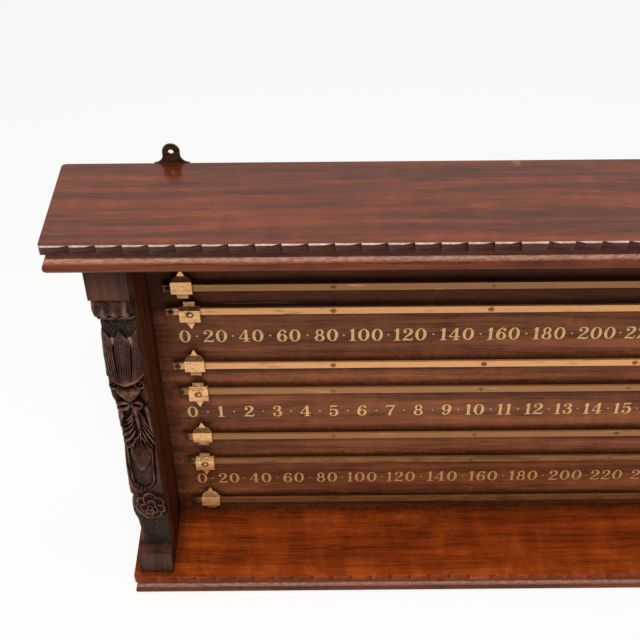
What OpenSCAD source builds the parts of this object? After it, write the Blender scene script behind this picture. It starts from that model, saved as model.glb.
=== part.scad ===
// Wall scoreboard for a cue game: a shallow open-fronted hardwood case whose back panel
// carries four rows of numerals. Eight brass pointers slide on eight flat brass rails,
// one rail above and one below each row. A cornice and a shelf of the same moulded
// section close the case, and a carved pilaster stands on each front edge.
// Millimetres. X runs along the case, Y runs back through it and Z is up.

/* [Rows] */
// Height of the lowest numeral row above the shelf
row_low = 67.2; // [64:0.1:80]
// Height from one numeral row to the next
row_pitch = 130.9; // [120:0.1:150]
// Room from the highest numeral row up to the cornice
head_room = 68.1; // [66:0.1:90]
// Height of each upper rail above its numeral row, from the top row down
rail_above = [45.1, 45.4, 43.8, 43.2]; // [38:0.1:46]
// Depth of each lower rail below its numeral row, from the top row down
rail_below = [49.6, 42.9, 39.9, 38.4]; // [36:0.1:50]

/* [Case] */
// Clear width between the two side boards
clear_w = 810; // [780:1:900]
// Depth from the front edge of a side board to the face of the panel
recess_d = 81; // [60:1:100]
// Depth of the case behind the face of the panel
back_d = 14.25; // [12:0.25:30]
// Thickness of a side board
side_t = 32; // [26:1:38]
// Thickness of the back panel
panel_t = 9.5; // [9:0.25:11]
// Width of the rebate in each side board that the panel sits in
rebate_w = 12; // [10:0.5:14]
// Gap around the panel in its rebates
panel_gap = 0.25; // [0.1:0.05:0.5]

/* [Cornice and shelf] */
// Thickness of the top board and of the shelf board
board_t = 12.5; // [11:0.25:16]
// How far the top board runs past the inner face of a side board
board_over = 75; // [70:1:90]
// How far the top board stands in front of the side boards
board_front = 47.3; // [38:0.1:60]
// How far the shelf board stands out past the base blocks
shelf_margin = 9; // [6:0.5:20]
// Radius of the boards' upright corners
board_corner = 5; // [2:0.5:8]
// Radius of the boards' upper front arris
nose_r = 2.4; // [1:0.1:4]
// Radius of the boards' lower front arris
under_r = 4.5; // [2:0.1:6]
// Thickness of the core board behind the mouldings
core_t = 25; // [22:0.5:32]
// Depth of a moulding strip under the top board, from its face to the core board
mould_d = 31; // [26:0.5:34]
// Depth of a moulding strip under the shelf board
base_mould_d = 22; // [18:0.5:26]
// How far the boards overhang the mouldings
mould_set = 0; // [0:0.5:6]
// Radius of the half-round on the mouldings
torus_r = 9.4; // [7:0.1:10]
// Depth of the quirk above the half-round
quirk_d = 5; // [2:0.5:8]

/* [Carved edge] */
// Gouge cuts on each side of the plain middle of the top board
cut_count = 18; // [12:1:20]
// Gouge cuts on each side of the plain middle of the shelf board
shelf_cut_count = 17; // [12:1:20]
// Plain length at each end of a carved edge
cut_in = 5; // [2:0.5:12]
// Depth of a gouge cut at its deep end
cut_d = 4.3; // [3:0.1:5]
// Depth of a gouge cut where it starts
cut_start_d = 0.2; // [0.1:0.1:0.6]
// How far the centre line of the gouge runs in front of the edge
cut_out = 3.2; // [2:0.1:5]
// Height of that centre line above mid thickness at the deep end
cut_up = 1; // [0:0.1:1.5]
// How much that centre line climbs over a cut
cut_rise = 2; // [0:0.5:3]

/* [Pilasters] */
// Width of a pilaster
pil_w = 36.5; // [32:0.5:38]
// Depth of a pilaster at its plain ground
ground_d = 7.5; // [5:0.5:10]
// Depth of a pilaster at its highest carving
relief_d = 14; // [12:0.5:18]
// Width of a capital and of a base block
block_w = 43; // [40:0.5:48]
// Depth of a capital and of a base block
block_d = 23.5; // [20:0.5:26]
// Height of a capital
capital_h = 52; // [40:0.5:60]
// Height of a base block
base_h = 40; // [30:0.5:50]
// Height of the swelling mould under a capital
mould_h = 34.5; // [30:0.5:40]
// How much less that mould stands out at its foot than at its top, in front
mould_drop = 7.5; // [4:0.5:9]
// How much narrower that mould is at its foot than at its top
mould_taper = 3.5; // [2:0.5:6]
// How far the carved forms may pass the outer side of a pilaster
carving_over = 2.5; // [1:0.5:4]
// Height of the fillet under that mould
fillet_h = 5; // [3:0.5:8]
// How far that fillet passes the outer side of a pilaster
fillet_out = 1.5; // [0.5:0.5:2]
// Plain band between the fillet and the tulip
band_h = 12.5; // [10:0.5:20]
// Height of the tulip
tulip_h = 84; // [70:1:90]
// Largest radius of the tulip
tulip_r = 20.9; // [18:0.1:22]
// Gap between the tulip and the bud below it
eye_h = 9; // [6:0.5:12]
// Height of the bud
bud_h = 21; // [16:0.5:26]
// Height of the curled leaves under the bud
curl_h = 12; // [8:0.5:16]
// Length of the stem from the curled leaves to the shield
stem_h = 70; // [60:1:80]
// Height of the shield
shield_h = 69; // [60:1:75]
// Gap between the shield and the rosette below it
rosette_gap = 8; // [2:0.5:12]
// Radius of the rosette
rosette_r = 21; // [18:0.5:22]
// Width of the base of the notches between the tulip's leaves
notch_w = 14; // [10:0.5:15]
// Depth of those notches
notch_h = 11; // [8:0.5:14]
// Radius of the rib along the stem
stem_r = 3.2; // [2.4:0.1:4]

/* [Rails] */
// Gap between each end of a rail and the side board
rail_gap = 18; // [12:0.5:30]
// Height of a rail
rail_h = 9.5; // [9:0.1:10]
// Thickness of a rail
rail_t = 2.6; // [2:0.1:3]
// Length of the ferrules that hold a rail off the panel
ferrule_l = 5; // [4:0.1:7]
// Outer radius of a ferrule
ferrule_r = 2.25; // [2:0.05:2.4]
// Distance from a rail's end to its stop screw
stop_in = 5.6; // [5:0.1:10]
// Distance from the left stop screw to the first rail screw
first_span = 189; // [150:0.1:210]
// Distance from one rail screw to the next
rail_pitch = 183.6; // [150:0.1:190]
// Rail screws between the two stop screws
rail_screw_count = 3; // [2:1:3]
// Shank radius of the rail screws
rail_screw_r = 1.5; // [1.2:0.1:1.6]
// Head radius of the rail screws
rail_head_r = 3.8; // [3:0.1:4.2]
// How far the rail screws go into the panel
rail_screw_in = 7.5; // [5:0.5:8]
// Head radius of a stop screw
stop_head_r = 3.5; // [3:0.1:4]
// Height of a stop screw's round head
stop_head_h = 2.4; // [1.6:0.1:2.8]

/* [Pointers] */
// Width of a pointer
pointer_w = 24.2; // [22:0.1:28]
// Face height on the tip side of the rail's middle
face_tip = 11.4; // [10:0.1:13]
// Face height on the tab side of the rail's middle
face_tab = 4.75; // [4:0.05:5]
// How far the face stands in front of the tip and tab
face_out = 5.2; // [4.6:0.1:6]
// Length of the slope between face and tip
slope_l = 6.5; // [5:0.1:8]
// Bow of the slope's side edges
slope_bow = 1.3; // [0.3:0.1:1.6]
// Width of the tip where it leaves the slope
tip_w = 8.8; // [7:0.1:14]
// Length of the flat tip
tip_l = 8.7; // [7:0.1:10]
// Width of the blunt end of the tip
tip_end = 0.8; // [0.4:0.1:1.5]
// Length of the bevel between face and tab
bevel_l = 3.8; // [3:0.1:4.5]
// Width of the tab
tab_w = 13.3; // [11:0.1:15]
// Length of the flat tab
tab_l = 6.9; // [5:0.1:8]
// Extra width of the bevel where it meets the tab
bevel_flare = 3.6; // [1:0.1:5]
// Radius of the face's crown, seen from its end
crown_r = 60; // [45:1:90]
// Wall thickness of a pointer
pointer_wall = 1.3; // [1:0.05:1.6]
// Thickness of the lips behind the rail
lip_t = 1; // [0.8:0.1:1.4]
// How far each lip reaches behind the rail's edge
lip_reach = 1.8; // [1.4:0.1:2]
// Running gap between pointer and rail
run_gap = 0.3; // [0.2:0.05:0.4]
// Thickness of a leaf spring
spring_t = 0.4; // [0.3:0.05:0.6]
// Height of a leaf spring
spring_h = 7; // [5:0.1:8]
// Length of a leaf spring
spring_l = 21; // [18:0.5:23]
// Radius of the domed button on a downward pointer
button_r = 3.4; // [3:0.1:4]
// Height of that button
button_h = 2.2; // [1.6:0.1:3]
// Radius of the dished ring around the button
dish_r = 4.8; // [4.2:0.1:5.5]
// Depth of that dished ring
dish_d = 0.6; // [0.2:0.1:0.7]
// Shank radius of the button
button_shank_r = 1.2; // [1:0.1:1.5]
// Clearance around a shank, a dowel or the plug in its hole
fit = 0.05; // [0.03:0.01:0.1]

/* [Hanging plates] */
// Distance from each end of the top board to its hanging hole
hang_in = 116.5; // [110:0.5:160]
// Height of the hanging holes above the top board
hang_up = 13.6; // [12:0.1:20]
// Radius of a hanging hole
hang_hole_r = 2.9; // [2:0.1:4]
// Radius of a plate's round ear
ear_r = 9.25; // [7:0.05:11]
// Half width of a plate where it is screwed on
plate_half_w = 18.85; // [16:0.05:24]
// Height of a plate below the top board's surface
plate_down = 36; // [32:0.5:36]
// Thickness of a plate
plate_t = 2.5; // [2:0.1:4]
// Radius of a plate's lower corners
plate_corner = 4; // [2:0.5:8]
// Shank radius of the plate and panel screws
wood_screw_r = 1.75; // [1.4:0.05:2]
// Head radius of the plate and panel screws
wood_head_r = 3.5; // [3:0.1:4]
// Distance of a plate's upper two screws from its middle
plate_screw_x = 12; // [8:0.5:13]
// Height from a plate's upper two screws down to its lower one
plate_screw_drop = 12; // [9:0.5:12]
// Length of the plate screws
plate_screw_l = 13; // [10:0.5:14]
// Length of the panel screws
panel_screw_l = 22; // [18:0.5:26]
// Panel screws on each side
panel_screw_count = 4; // [3:1:6]

/* [Case fastenings] */
// Radius of the dowels under the cornice
dowel_r = 4; // [3:0.25:5]
// Length of a dowel
dowel_l = 36; // [30:1:40]
// Depth of the dowel holes in the cornice
dowel_up = 15; // [12:0.5:18]
// Distance from the front one to the back one, of dowels and of base screws
fix_pitch = 44; // [36:1:50]
// Shank radius of the base screws and the top screw
case_screw_r = 2.5; // [2:0.1:3]
// Head radius of the base screws and the top screw
case_head_r = 4.8; // [4:0.1:5]
// Length of the base screws
base_screw_l = 68; // [60:1:80]
// Length of the top screw
top_screw_l = 24; // [20:0.5:26]
// Radius of the plug over the top screw
plug_r = 5.3; // [5.2:0.1:6]
// Depth of the plug
plug_d = 5.5; // [4:0.1:6]
// Distance from the plug's middle to the back edge of the board
plug_in = 6.5; // [6.2:0.1:12]

/* [Hidden] */
$fn = 48;

wood = "sienna";
dark_wood = [0.24, 0.13, 0.09];
brass = [0.85, 0.66, 0.4];
dull_brass = [0.45, 0.33, 0.2];
steel = "dimgray";

rows = 4;
clear_h = row_low + (rows - 1) * row_pitch + head_room;
shelf_z = core_t + board_t;
half_w = clear_w / 2;
board_half = half_w + board_over;
front_y = -recess_d - board_front;
shelf_half = half_w + block_w + shelf_margin;
shelf_front_y = -recess_d - block_d - shelf_margin;
panel_y = -(front_y + back_d + plate_t) / 2;
hang_x = board_half - hang_in;

rail_len = clear_w - 2 * rail_gap;
rail_back_y = -ferrule_l;
rail_front_y = rail_back_y - rail_t;
stop_x = rail_len / 2 - stop_in;
face_y = rail_front_y - face_out;
inner_y = face_y + pointer_wall;
channel = rail_h / 2 + run_gap;
lip_y = rail_back_y + run_gap;
rear_y = lip_y + lip_t;
tip_z = face_tip + slope_l;
tab_z = face_tab + bevel_l;

pil_x = half_w + pil_w / 2;
pil_top = clear_h - capital_h;
fillet_top = pil_top - mould_h;
tulip_top = fillet_top - fillet_h - band_h;
bud_top = tulip_top - tulip_h - eye_h;
curl_top = bud_top - bud_h;
stem_top = curl_top - curl_h;
shield_top = stem_top - stem_h;
rosette_z = shield_top - shield_h - rosette_gap - rosette_r;
fix_x = half_w + side_t / 2;
fix_y = -recess_d / 2;
hole_z = clear_h + core_t + board_t + hang_up;
plate_screw_z = clear_h + core_t - 2 * wood_head_r;
countersink_h = 2;
slot_w = 0.9;
slot_d = 0.8;
mould_in = 1;
// Where each pointer stands, as its gap to the left stop screw, from the top rail down
rest_gap = [5.5, run_gap, 6.4, 5.3, 6, 4.8, 4.1, 6.1];

// Height of a numeral row above the shelf, rows counted from the top
function row_z(row) = row_low + (rows - 1 - row) * row_pitch;
// Rails are counted from the top: even ones lie above their row and odd ones below it
function points_down(n) = n % 2 == 0;
function rail_z(n) = row_z(floor(n / 2))
    + (points_down(n) ? rail_above[floor(n / 2)] : -rail_below[floor(n / 2)]);
function rest_x(n) = stop_head_r + rest_gap[n] + pointer_w / 2 - stop_x;
function rail_screw_x(i) = -stop_x + first_span + i * rail_pitch;
// Radius of an arc that starts upright and falls back by drop over a height
function arc_radius(height, drop) = (height * height + drop * drop) / (2 * drop);
function panel_screw_z(i) = clear_h * (i + 0.5) / panel_screw_count;

// Everything is drawn with the panel's face at Y 0 and the shelf's surface at Z 0
module in_place() {
    translate([0, panel_y, shelf_z]) children();
}

// The right-hand piece as drawn, or its mirror image for the left
module handed(right) {
    mirror([right ? 0 : 1, 0, 0]) children();
}

// A screw along +Y with its flat head's face at the origin, or the hole that takes it
module flat_screw(length, shank_r, head_r, gap = 0, slot = true) {
    difference() {
        rotate([-90, 0, 0]) {
            cylinder(h = length + gap, r = shank_r + gap);
            cylinder(h = countersink_h, r1 = head_r + gap, r2 = shank_r + gap);
        }
        if (slot)
            translate([-head_r - 1, -1, -slot_w / 2]) cube([2 * head_r + 2, 1 + slot_d, slot_w]);
    }
}

// A screw along +Y with a round head in front of the origin
module round_screw(length, shank_r, head_r, head_h) {
    dome_r = (head_r * head_r + head_h * head_h) / (2 * head_h);
    difference() {
        union() {
            rotate([-90, 0, 0]) cylinder(h = length, r = shank_r);
            intersection() {
                translate([0, dome_r - head_h, 0]) sphere(r = dome_r);
                rotate([90, 0, 0]) cylinder(h = head_h + 1, r = head_r + 1);
            }
        }
        translate([-head_r - 1, -head_h - 1, -slot_w / 2])
            cube([2 * head_r + 2, 1 + slot_d, slot_w]);
    }
}

module panel_screw_places() {
    for (side = [-1, 1], i = [0 : panel_screw_count - 1])
        translate([side * (half_w + rebate_w / 2), panel_t, panel_screw_z(i)])
            rotate([0, 0, 180]) children();
}

module rail_hole_places(n) {
    for (i = [0 : rail_screw_count - 1])
        translate([rail_screw_x(i), rail_front_y, rail_z(n)]) children();
}

module stop_places(n) {
    for (side = [-1, 1])
        translate([side * stop_x, rail_front_y, rail_z(n)]) children();
}

module fix_places() {
    for (side = [-1, 1], back = [-1, 1])
        translate([side * fix_x, fix_y + back * fix_pitch / 2, 0]) children();
}

module back_panel() {
    screw_hole_l = rail_t + ferrule_l + rail_screw_in;
    color(wood) in_place() difference() {
        translate([-half_w - rebate_w + panel_gap, 0, 0])
            cube([clear_w + 2 * (rebate_w - panel_gap), panel_t, clear_h - panel_gap]);
        panel_screw_places() flat_screw(panel_screw_l, wood_screw_r, wood_head_r, fit, false);
        for (n = [0 : 2 * rows - 1]) {
            rail_hole_places(n) rotate([-90, 0, 0])
                cylinder(h = screw_hole_l + fit, r = rail_screw_r + fit);
            stop_places(n) rotate([-90, 0, 0])
                cylinder(h = screw_hole_l + fit, r = rail_screw_r + fit);
        }
    }
}

module side_board(right) {
    color(wood) in_place() difference() {
        handed(right) translate([half_w, 0, 0]) linear_extrude(clear_h)
            polygon([[0, -recess_d], [side_t, -recess_d], [side_t, back_d],
                [rebate_w, back_d], [rebate_w, 0], [0, 0]]);
        panel_screw_places() flat_screw(panel_screw_l, wood_screw_r, wood_head_r, fit, false);
        fix_places() {
            translate([0, 0, clear_h - (dowel_l - dowel_up) - run_gap])
                cylinder(h = dowel_l, r = dowel_r + fit);
            translate([0, 0, -1])
                cylinder(h = base_screw_l - shelf_z + 1 + fit, r = case_screw_r + fit);
        }
    }
}

// Plan of a board with rounded corners, from its half length and the depth of its front edge
module board_plan(half, front) {
    depth = back_d - front;
    translate([-half, front + board_corner]) square([2 * half, depth - 2 * board_corner]);
    translate([-half + board_corner, front]) square([2 * (half - board_corner), depth]);
    for (x = [-1, 1], y = [front + board_corner, back_d - board_corner])
        translate([x * (half - board_corner), y]) circle(r = board_corner);
}

// Section of a board, with both front arrises rounded over
module board_section(front) {
    depth = back_d - front;
    translate([front + under_r, 0]) square([depth - under_r, board_t - nose_r]);
    translate([front + nose_r, under_r]) square([depth - nose_r, board_t - under_r]);
    translate([front, under_r]) square([depth, board_t - nose_r - under_r]);
    translate([front + nose_r, board_t - nose_r]) circle(r = nose_r);
    translate([front + under_r, under_r]) circle(r = under_r);
}

// Lays a section drawn as [depth, height] along X
module along_x(length) {
    translate([-length / 2, 0, 0]) rotate([90, 0, 90]) linear_extrude(length) children();
}

// One gouge cut: a tapering scoop that climbs from a shallow start to a deep end
module gouge(length) {
    translate([0, -cut_out, cut_up - cut_rise]) rotate([0, 90 - atan(cut_rise / length), 0])
        cylinder(h = norm([length, cut_rise]), r1 = cut_out + cut_start_d, r2 = cut_out + cut_d);
}

// A board whose front edge is cut into overlapping scoops that run in towards the middle
module carved_board(half, front, cuts) {
    pitch = 2 * (half - cut_in) / (2 * cuts + 1);
    difference() {
        intersection() {
            along_x(2 * half) board_section(front);
            linear_extrude(board_t) board_plan(half, front);
        }
        for (side = [0, 1], i = [0 : cuts - 1])
            mirror([side, 0, 0]) translate([i * pitch + cut_in - half, front, board_t / 2])
                gouge(pitch);
    }
}

module top_screw_place() {
    translate([0, back_d - plug_in, clear_h + core_t + board_t]) rotate([-90, 0, 0]) children();
}

module top_board() {
    color(wood) in_place() difference() {
        translate([0, 0, clear_h + core_t]) carved_board(board_half, front_y, cut_count);
        top_screw_place() {
            rotate([-90, 0, 0]) cylinder(h = plug_d, r = plug_r + fit);
            translate([0, -1, 0]) rotate([-90, 0, 0]) cylinder(h = 2, r = plug_r + fit);
            translate([0, plug_d, 0]) flat_screw(top_screw_l, case_screw_r, case_head_r, fit, false);
        }
    }
}

module shelf_board() {
    color(wood) in_place() difference() {
        translate([0, 0, -board_t]) carved_board(shelf_half, shelf_front_y, shelf_cut_count);
        fix_places() translate([0, 0, -board_t - 1])
            cylinder(h = board_t + 2, r = case_screw_r + fit);
    }
}

// The board inside a ring of mouldings of that depth, under a board of that size
module core_board(half, front, depth) {
    inset = mould_set + depth;
    translate([inset - half, front + inset, 0])
        cube([2 * (half - inset), back_d - front - inset, core_t]);
}

module plate_screw_places(right) {
    handed(right) for (at = [[-plate_screw_x, plate_screw_z], [plate_screw_x, plate_screw_z],
            [0, plate_screw_z - plate_screw_drop]])
        translate([hang_x + at[0], back_d + plate_t, at[1]])
            rotate([0, 0, 180]) children();
}

module cornice_core() {
    color(wood) in_place() difference() {
        translate([0, 0, clear_h]) core_board(board_half, front_y, mould_d);
        fix_places() translate([0, 0, clear_h - 1])
            cylinder(h = dowel_up + run_gap + 1, r = dowel_r + fit);
        top_screw_place() translate([0, plug_d, 0])
            flat_screw(top_screw_l, case_screw_r, case_head_r, fit, false);
        for (right = [false, true])
            plate_screw_places(right)
                flat_screw(plate_screw_l, wood_screw_r, wood_head_r, fit, false);
    }
}

module base_screw_place() {
    fix_places() translate([0, 0, -shelf_z]) rotate([90, 0, 0]) children();
}

module base_core() {
    color(wood) in_place() difference() {
        translate([0, 0, -shelf_z]) core_board(shelf_half, shelf_front_y, base_mould_d);
        base_screw_place()
            flat_screw(base_screw_l, case_screw_r, case_head_r, fit, false);
    }
}

// Section of a moulding: a half-round with a quirk above it
module moulding_section(depth) {
    square([depth - torus_r, 2 * torus_r]);
    translate([depth - torus_r, torus_r]) circle(r = torus_r);
    translate([0, 2 * torus_r]) square([depth - quirk_d, core_t - 2 * torus_r]);
}

// Front strip, mitred at both ends, under a board of that half length and front edge
module moulding_front(half, front, depth) {
    outer = half - mould_set;
    outer_y = front + mould_set;
    intersection() {
        translate([0, outer_y + depth, 0]) mirror([0, 1, 0]) along_x(2 * outer)
            moulding_section(depth);
        linear_extrude(core_t) polygon([[depth - outer, outer_y + depth],
            [outer - depth, outer_y + depth], [outer, outer_y], [-outer, outer_y]]);
    }
}

// Side strip, mitred at the front
module moulding_return(right, half, front, depth) {
    outer = half - mould_set;
    outer_y = front + mould_set;
    handed(right) intersection() {
        translate([outer - depth, back_d, 0]) rotate([90, 0, 0])
            linear_extrude(back_d - outer_y) moulding_section(depth);
        linear_extrude(core_t) polygon([[outer - depth, back_d], [outer - depth, outer_y + depth],
            [outer, outer_y], [outer, back_d]]);
    }
}

module cornice_moulding_front() {
    color(wood) in_place() translate([0, 0, clear_h])
        moulding_front(board_half, front_y, mould_d);
}

module cornice_moulding_return(right) {
    color(wood) in_place() translate([0, 0, clear_h])
        moulding_return(right, board_half, front_y, mould_d);
}

module base_moulding_front() {
    color(wood) in_place() translate([0, 0, -shelf_z])
        moulding_front(shelf_half, shelf_front_y, base_mould_d);
}

module base_moulding_return(right) {
    color(wood) in_place() translate([0, 0, -shelf_z])
        moulding_return(right, shelf_half, shelf_front_y, base_mould_d);
}

module block(right, bottom, height) {
    handed(right) translate([half_w, -recess_d - block_d, bottom])
        cube([block_w, block_d, height]);
}

module capital(right) {
    color(dark_wood) in_place() block(right, pil_top, capital_h);
}

module base_block(right) {
    color(dark_wood) in_place() block(right, 0, base_h);
}

// Swelling mould under the capital: an arc that falls back to the fillet, in front and outside
module swelling_mould() {
    depth = block_d - mould_in;
    width = block_w - mould_in;
    front_r = arc_radius(mould_h, mould_drop);
    outer_r = arc_radius(mould_h, mould_taper);
    intersection() {
        translate([half_w, -recess_d - block_d, 0]) cube([block_w, block_d, mould_h]);
        translate([half_w, -recess_d - depth + front_r, mould_h]) rotate([0, 90, 0])
            cylinder(h = block_w, r = front_r, $fn = 180);
        translate([half_w + width - outer_r, -recess_d - block_d, mould_h]) rotate([-90, 0, 0])
            cylinder(h = block_d, r = outer_r, $fn = 180);
    }
}

// Front half of a turned form, centred on the pilaster and reaching its carved depth
module turned_relief(r, bottom) {
    translate([pil_x, -recess_d - relief_d + r, bottom]) children();
}

// Tulip: a turned cup whose upper rim is cut into three pointed leaves
module tulip() {
    foot_r = tulip_r * 0.62;
    shoulder_h = tulip_h * 0.11;
    difference() {
        turned_relief(tulip_r, tulip_top - tulip_h) rotate_extrude()
            polygon([[0, 0], [foot_r, 0], [tulip_r * 0.88, shoulder_h / 3], [tulip_r, shoulder_h],
                [tulip_r * 0.97, tulip_h / 2], [tulip_r * 0.985, tulip_h], [0, tulip_h]]);
        for (side = [-1, 1])
            translate([pil_x + side * notch_w / 2, -recess_d, tulip_top]) rotate([90, 0, 0])
                linear_extrude(relief_d + 1)
                    polygon([[-notch_w / 2, 1], [0, -notch_h], [notch_w / 2, 1]]);
    }
}

module bud() {
    bud_r = tulip_r - 0.9;
    turned_relief(bud_r, curl_top + bud_h / 2) intersection() {
        sphere(r = bud_r);
        cylinder(h = bud_h, r = bud_r + 1, center = true);
    }
}

// Two curled leaves: short rolls tucked under the bud
module curled_leaves() {
    roll_r = curl_h / 2;
    tuck = 1.2;
    for (side = [-1, 1])
        translate([pil_x + side * (pil_w / 4 + 1), -recess_d, curl_top - roll_r + tuck])
            rotate([90, 0, 0]) cylinder(h = ground_d + 4, r1 = roll_r, r2 = roll_r - 1.5);
}

// Outline of a leaf that is pointed at both ends
module leaf_outline(length, width) {
    arc_r = (length * length + width * width) / (4 * width);
    intersection() {
        translate([arc_r - width / 2, 0]) circle(r = arc_r);
        translate([width / 2 - arc_r, 0]) circle(r = arc_r);
    }
}

module stem_and_leaves() {
    leaf_l = stem_h * 0.62;
    leaf_x = pil_w * 0.236;
    translate([pil_x, -recess_d - ground_d + stem_r / 6, shield_top])
        cylinder(h = stem_h, r = stem_r);
    for (side = [-1, 1], level = [0.3, 0.62])
        translate([pil_x + side * leaf_x, -recess_d - 1, shield_top + level * stem_h])
            rotate([90, side * 14, 0]) linear_extrude(ground_d + 1.5)
                leaf_outline(leaf_l, pil_w / 3.4);
}

// Shield with a round foot, carrying one pointed leaf
module shield() {
    shield_r = pil_w / 2 - 1.2;
    rim = 2.6;
    translate([pil_x, -recess_d, 0]) rotate([90, 0, 0]) {
        linear_extrude(ground_d + 2) {
            translate([-shield_r, shield_top - shield_h + shield_r])
                square([2 * shield_r, shield_h - shield_r]);
            translate([0, shield_top - shield_h + shield_r]) circle(r = shield_r);
        }
        linear_extrude(ground_d + 4) translate([0, shield_top - shield_h / 2 + rim])
            leaf_outline(shield_h - 4 * rim, 2 * (shield_r - rim));
    }
}

// Rosette: a ring of rounded petals about a domed eye, on a round ground
module rosette() {
    petals = 8;
    petal_r = rosette_r * 0.32;
    translate([pil_x, -recess_d, rosette_z]) rotate([90, 0, 0]) {
        cylinder(h = ground_d + 1.5, r = rosette_r - 1);
        for (i = [0 : petals - 1])
            rotate([0, 0, (i + 0.5) * 360 / petals]) translate([rosette_r - petal_r, 0, 0])
                cylinder(h = relief_d - 1.5, r1 = petal_r, r2 = petal_r * 0.67);
        cylinder(h = relief_d, r1 = petal_r * 1.18, r2 = petal_r * 0.7);
    }
}

// Keeps a carved form within the pilaster's sides and off the side board
module pilaster_limits() {
    intersection() {
        children();
        translate([half_w, -recess_d - block_d, base_h])
            cube([pil_w + carving_over, block_d, pil_top - base_h]);
    }
}

module pilaster(right) {
    color(dark_wood) in_place() handed(right) union() {
        translate([half_w, -recess_d - ground_d, base_h])
            cube([pil_w, ground_d, pil_top - base_h]);
        translate([0, 0, fillet_top]) swelling_mould();
        translate([half_w, -recess_d - relief_d + 1, fillet_top - fillet_h])
            cube([pil_w + fillet_out, relief_d - 1, fillet_h]);
        pilaster_limits() union() {
            tulip();
            bud();
            curled_leaves();
            stem_and_leaves();
            shield();
            rosette();
        }
    }
}

module top_plug() {
    color(dark_wood) in_place() top_screw_place() rotate([-90, 0, 0])
        cylinder(h = plug_d, r = plug_r);
}

module top_screw() {
    color(steel) in_place() top_screw_place() translate([0, plug_d, 0])
        flat_screw(top_screw_l, case_screw_r, case_head_r);
}

module cornice_dowels() {
    color("tan") in_place() fix_places()
        translate([0, 0, clear_h + dowel_up - dowel_l]) cylinder(h = dowel_l, r = dowel_r);
}

module base_screws() {
    color(steel) in_place() base_screw_place()
        flat_screw(base_screw_l, case_screw_r, case_head_r);
}

module panel_screws() {
    color(steel) in_place() panel_screw_places()
        flat_screw(panel_screw_l, wood_screw_r, wood_head_r);
}

module rail(n) {
    color(brass) in_place() difference() {
        translate([-rail_len / 2, rail_front_y, rail_z(n) - rail_h / 2])
            cube([rail_len, rail_t, rail_h]);
        rail_hole_places(n)
            flat_screw(rail_t + 1, rail_screw_r, rail_head_r, fit, false);
        stop_places(n) translate([0, -1, 0]) rotate([-90, 0, 0])
            cylinder(h = rail_t + 2, r = rail_screw_r + fit);
    }
}

module ferrule() {
    translate([0, rail_t, 0]) rotate([-90, 0, 0]) difference() {
        cylinder(h = ferrule_l, r = ferrule_r);
        translate([0, 0, -1]) cylinder(h = ferrule_l + 2, r = rail_screw_r + fit);
    }
}

module rail_ferrules() {
    color(dull_brass) in_place() for (n = [0 : 2 * rows - 1]) {
        rail_hole_places(n) ferrule();
        stop_places(n) ferrule();
    }
}

module rail_screws() {
    color(dull_brass) in_place() for (n = [0 : 2 * rows - 1])
        rail_hole_places(n)
            flat_screw(rail_t + ferrule_l + rail_screw_in, rail_screw_r, rail_head_r);
}

module stop_screws() {
    color(dull_brass) in_place() for (n = [0 : 2 * rows - 1])
        stop_places(n)
            round_screw(rail_t + ferrule_l + rail_screw_in, rail_screw_r, stop_head_r,
                stop_head_h);
}

// Outline of a hanging plate: a screwed foot that narrows to a round ear
module plate_outline() {
    foot_top = clear_h + core_t + board_t;
    neck = plate_half_w - ear_r;
    difference() {
        union() {
            translate([-plate_half_w, foot_top - plate_down + plate_corner])
                square([2 * plate_half_w, plate_down - plate_corner]);
            translate([-plate_half_w + plate_corner, foot_top - plate_down])
                square([2 * (plate_half_w - plate_corner), plate_down]);
            for (side = [-1, 1])
                translate([side * (plate_half_w - plate_corner),
                    foot_top - plate_down + plate_corner]) circle(r = plate_corner);
            translate([-plate_half_w, foot_top]) square([2 * plate_half_w, neck]);
            translate([-ear_r, foot_top]) square([2 * ear_r, hang_up]);
            translate([0, foot_top + hang_up]) circle(r = ear_r);
        }
        for (side = [-1, 1])
            translate([side * plate_half_w, foot_top + neck]) circle(r = neck);
    }
}

module hanging_plate(right) {
    color(dull_brass) in_place() difference() {
        handed(right) translate([hang_x, back_d + plate_t, 0]) rotate([90, 0, 0])
            linear_extrude(plate_t) plate_outline();
        handed(right) translate([hang_x, back_d - 1, hole_z]) rotate([-90, 0, 0])
            cylinder(h = plate_t + 2, r = hang_hole_r);
        plate_screw_places(right)
            flat_screw(plate_screw_l, wood_screw_r, wood_head_r, fit, false);
    }
}

module hanging_plate_screws() {
    color(steel) in_place() for (right = [false, true])
        plate_screw_places(right)
            flat_screw(plate_screw_l, wood_screw_r, wood_head_r);
}

// Front profile of a pointer as [depth, height], filled back to its lips
module pointer_fill() {
    end_z = tip_z + tip_l;
    polygon([[rear_y, -tab_z - tab_l], [rail_front_y, -tab_z - tab_l], [rail_front_y, -tab_z],
        [face_y, -face_tab], [face_y, face_tip], [rail_front_y, tip_z], [rail_front_y, end_z],
        [rear_y, end_z]]);
}

// What is hollow behind the face, slope, tip, bevel and tab
module pointer_hollow() {
    back_y = rail_front_y + pointer_wall;
    polygon([[rear_y + 1, -tab_z - tab_l - 1], [back_y, -tab_z - tab_l - 1],
        [back_y, -tab_z + pointer_wall / 2], [inner_y, -channel],
        [inner_y, face_tip - pointer_wall / 2], [back_y, tip_z - pointer_wall / 2],
        [back_y, tip_z + tip_l + 1], [rear_y + 1, tip_z + tip_l + 1]]);
}

// Lipped walls above and below the rail, which hold the pointer on it
module pointer_hooks() {
    for (side = [0, 1]) mirror([0, 0, side]) {
        translate([-pointer_w / 2, face_y, channel])
            cube([pointer_w, rear_y - face_y, pointer_wall]);
        translate([-pointer_w / 2, lip_y, rail_h / 2 - lip_reach])
            cube([pointer_w, lip_t, lip_reach + run_gap + pointer_wall]);
    }
}

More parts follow.
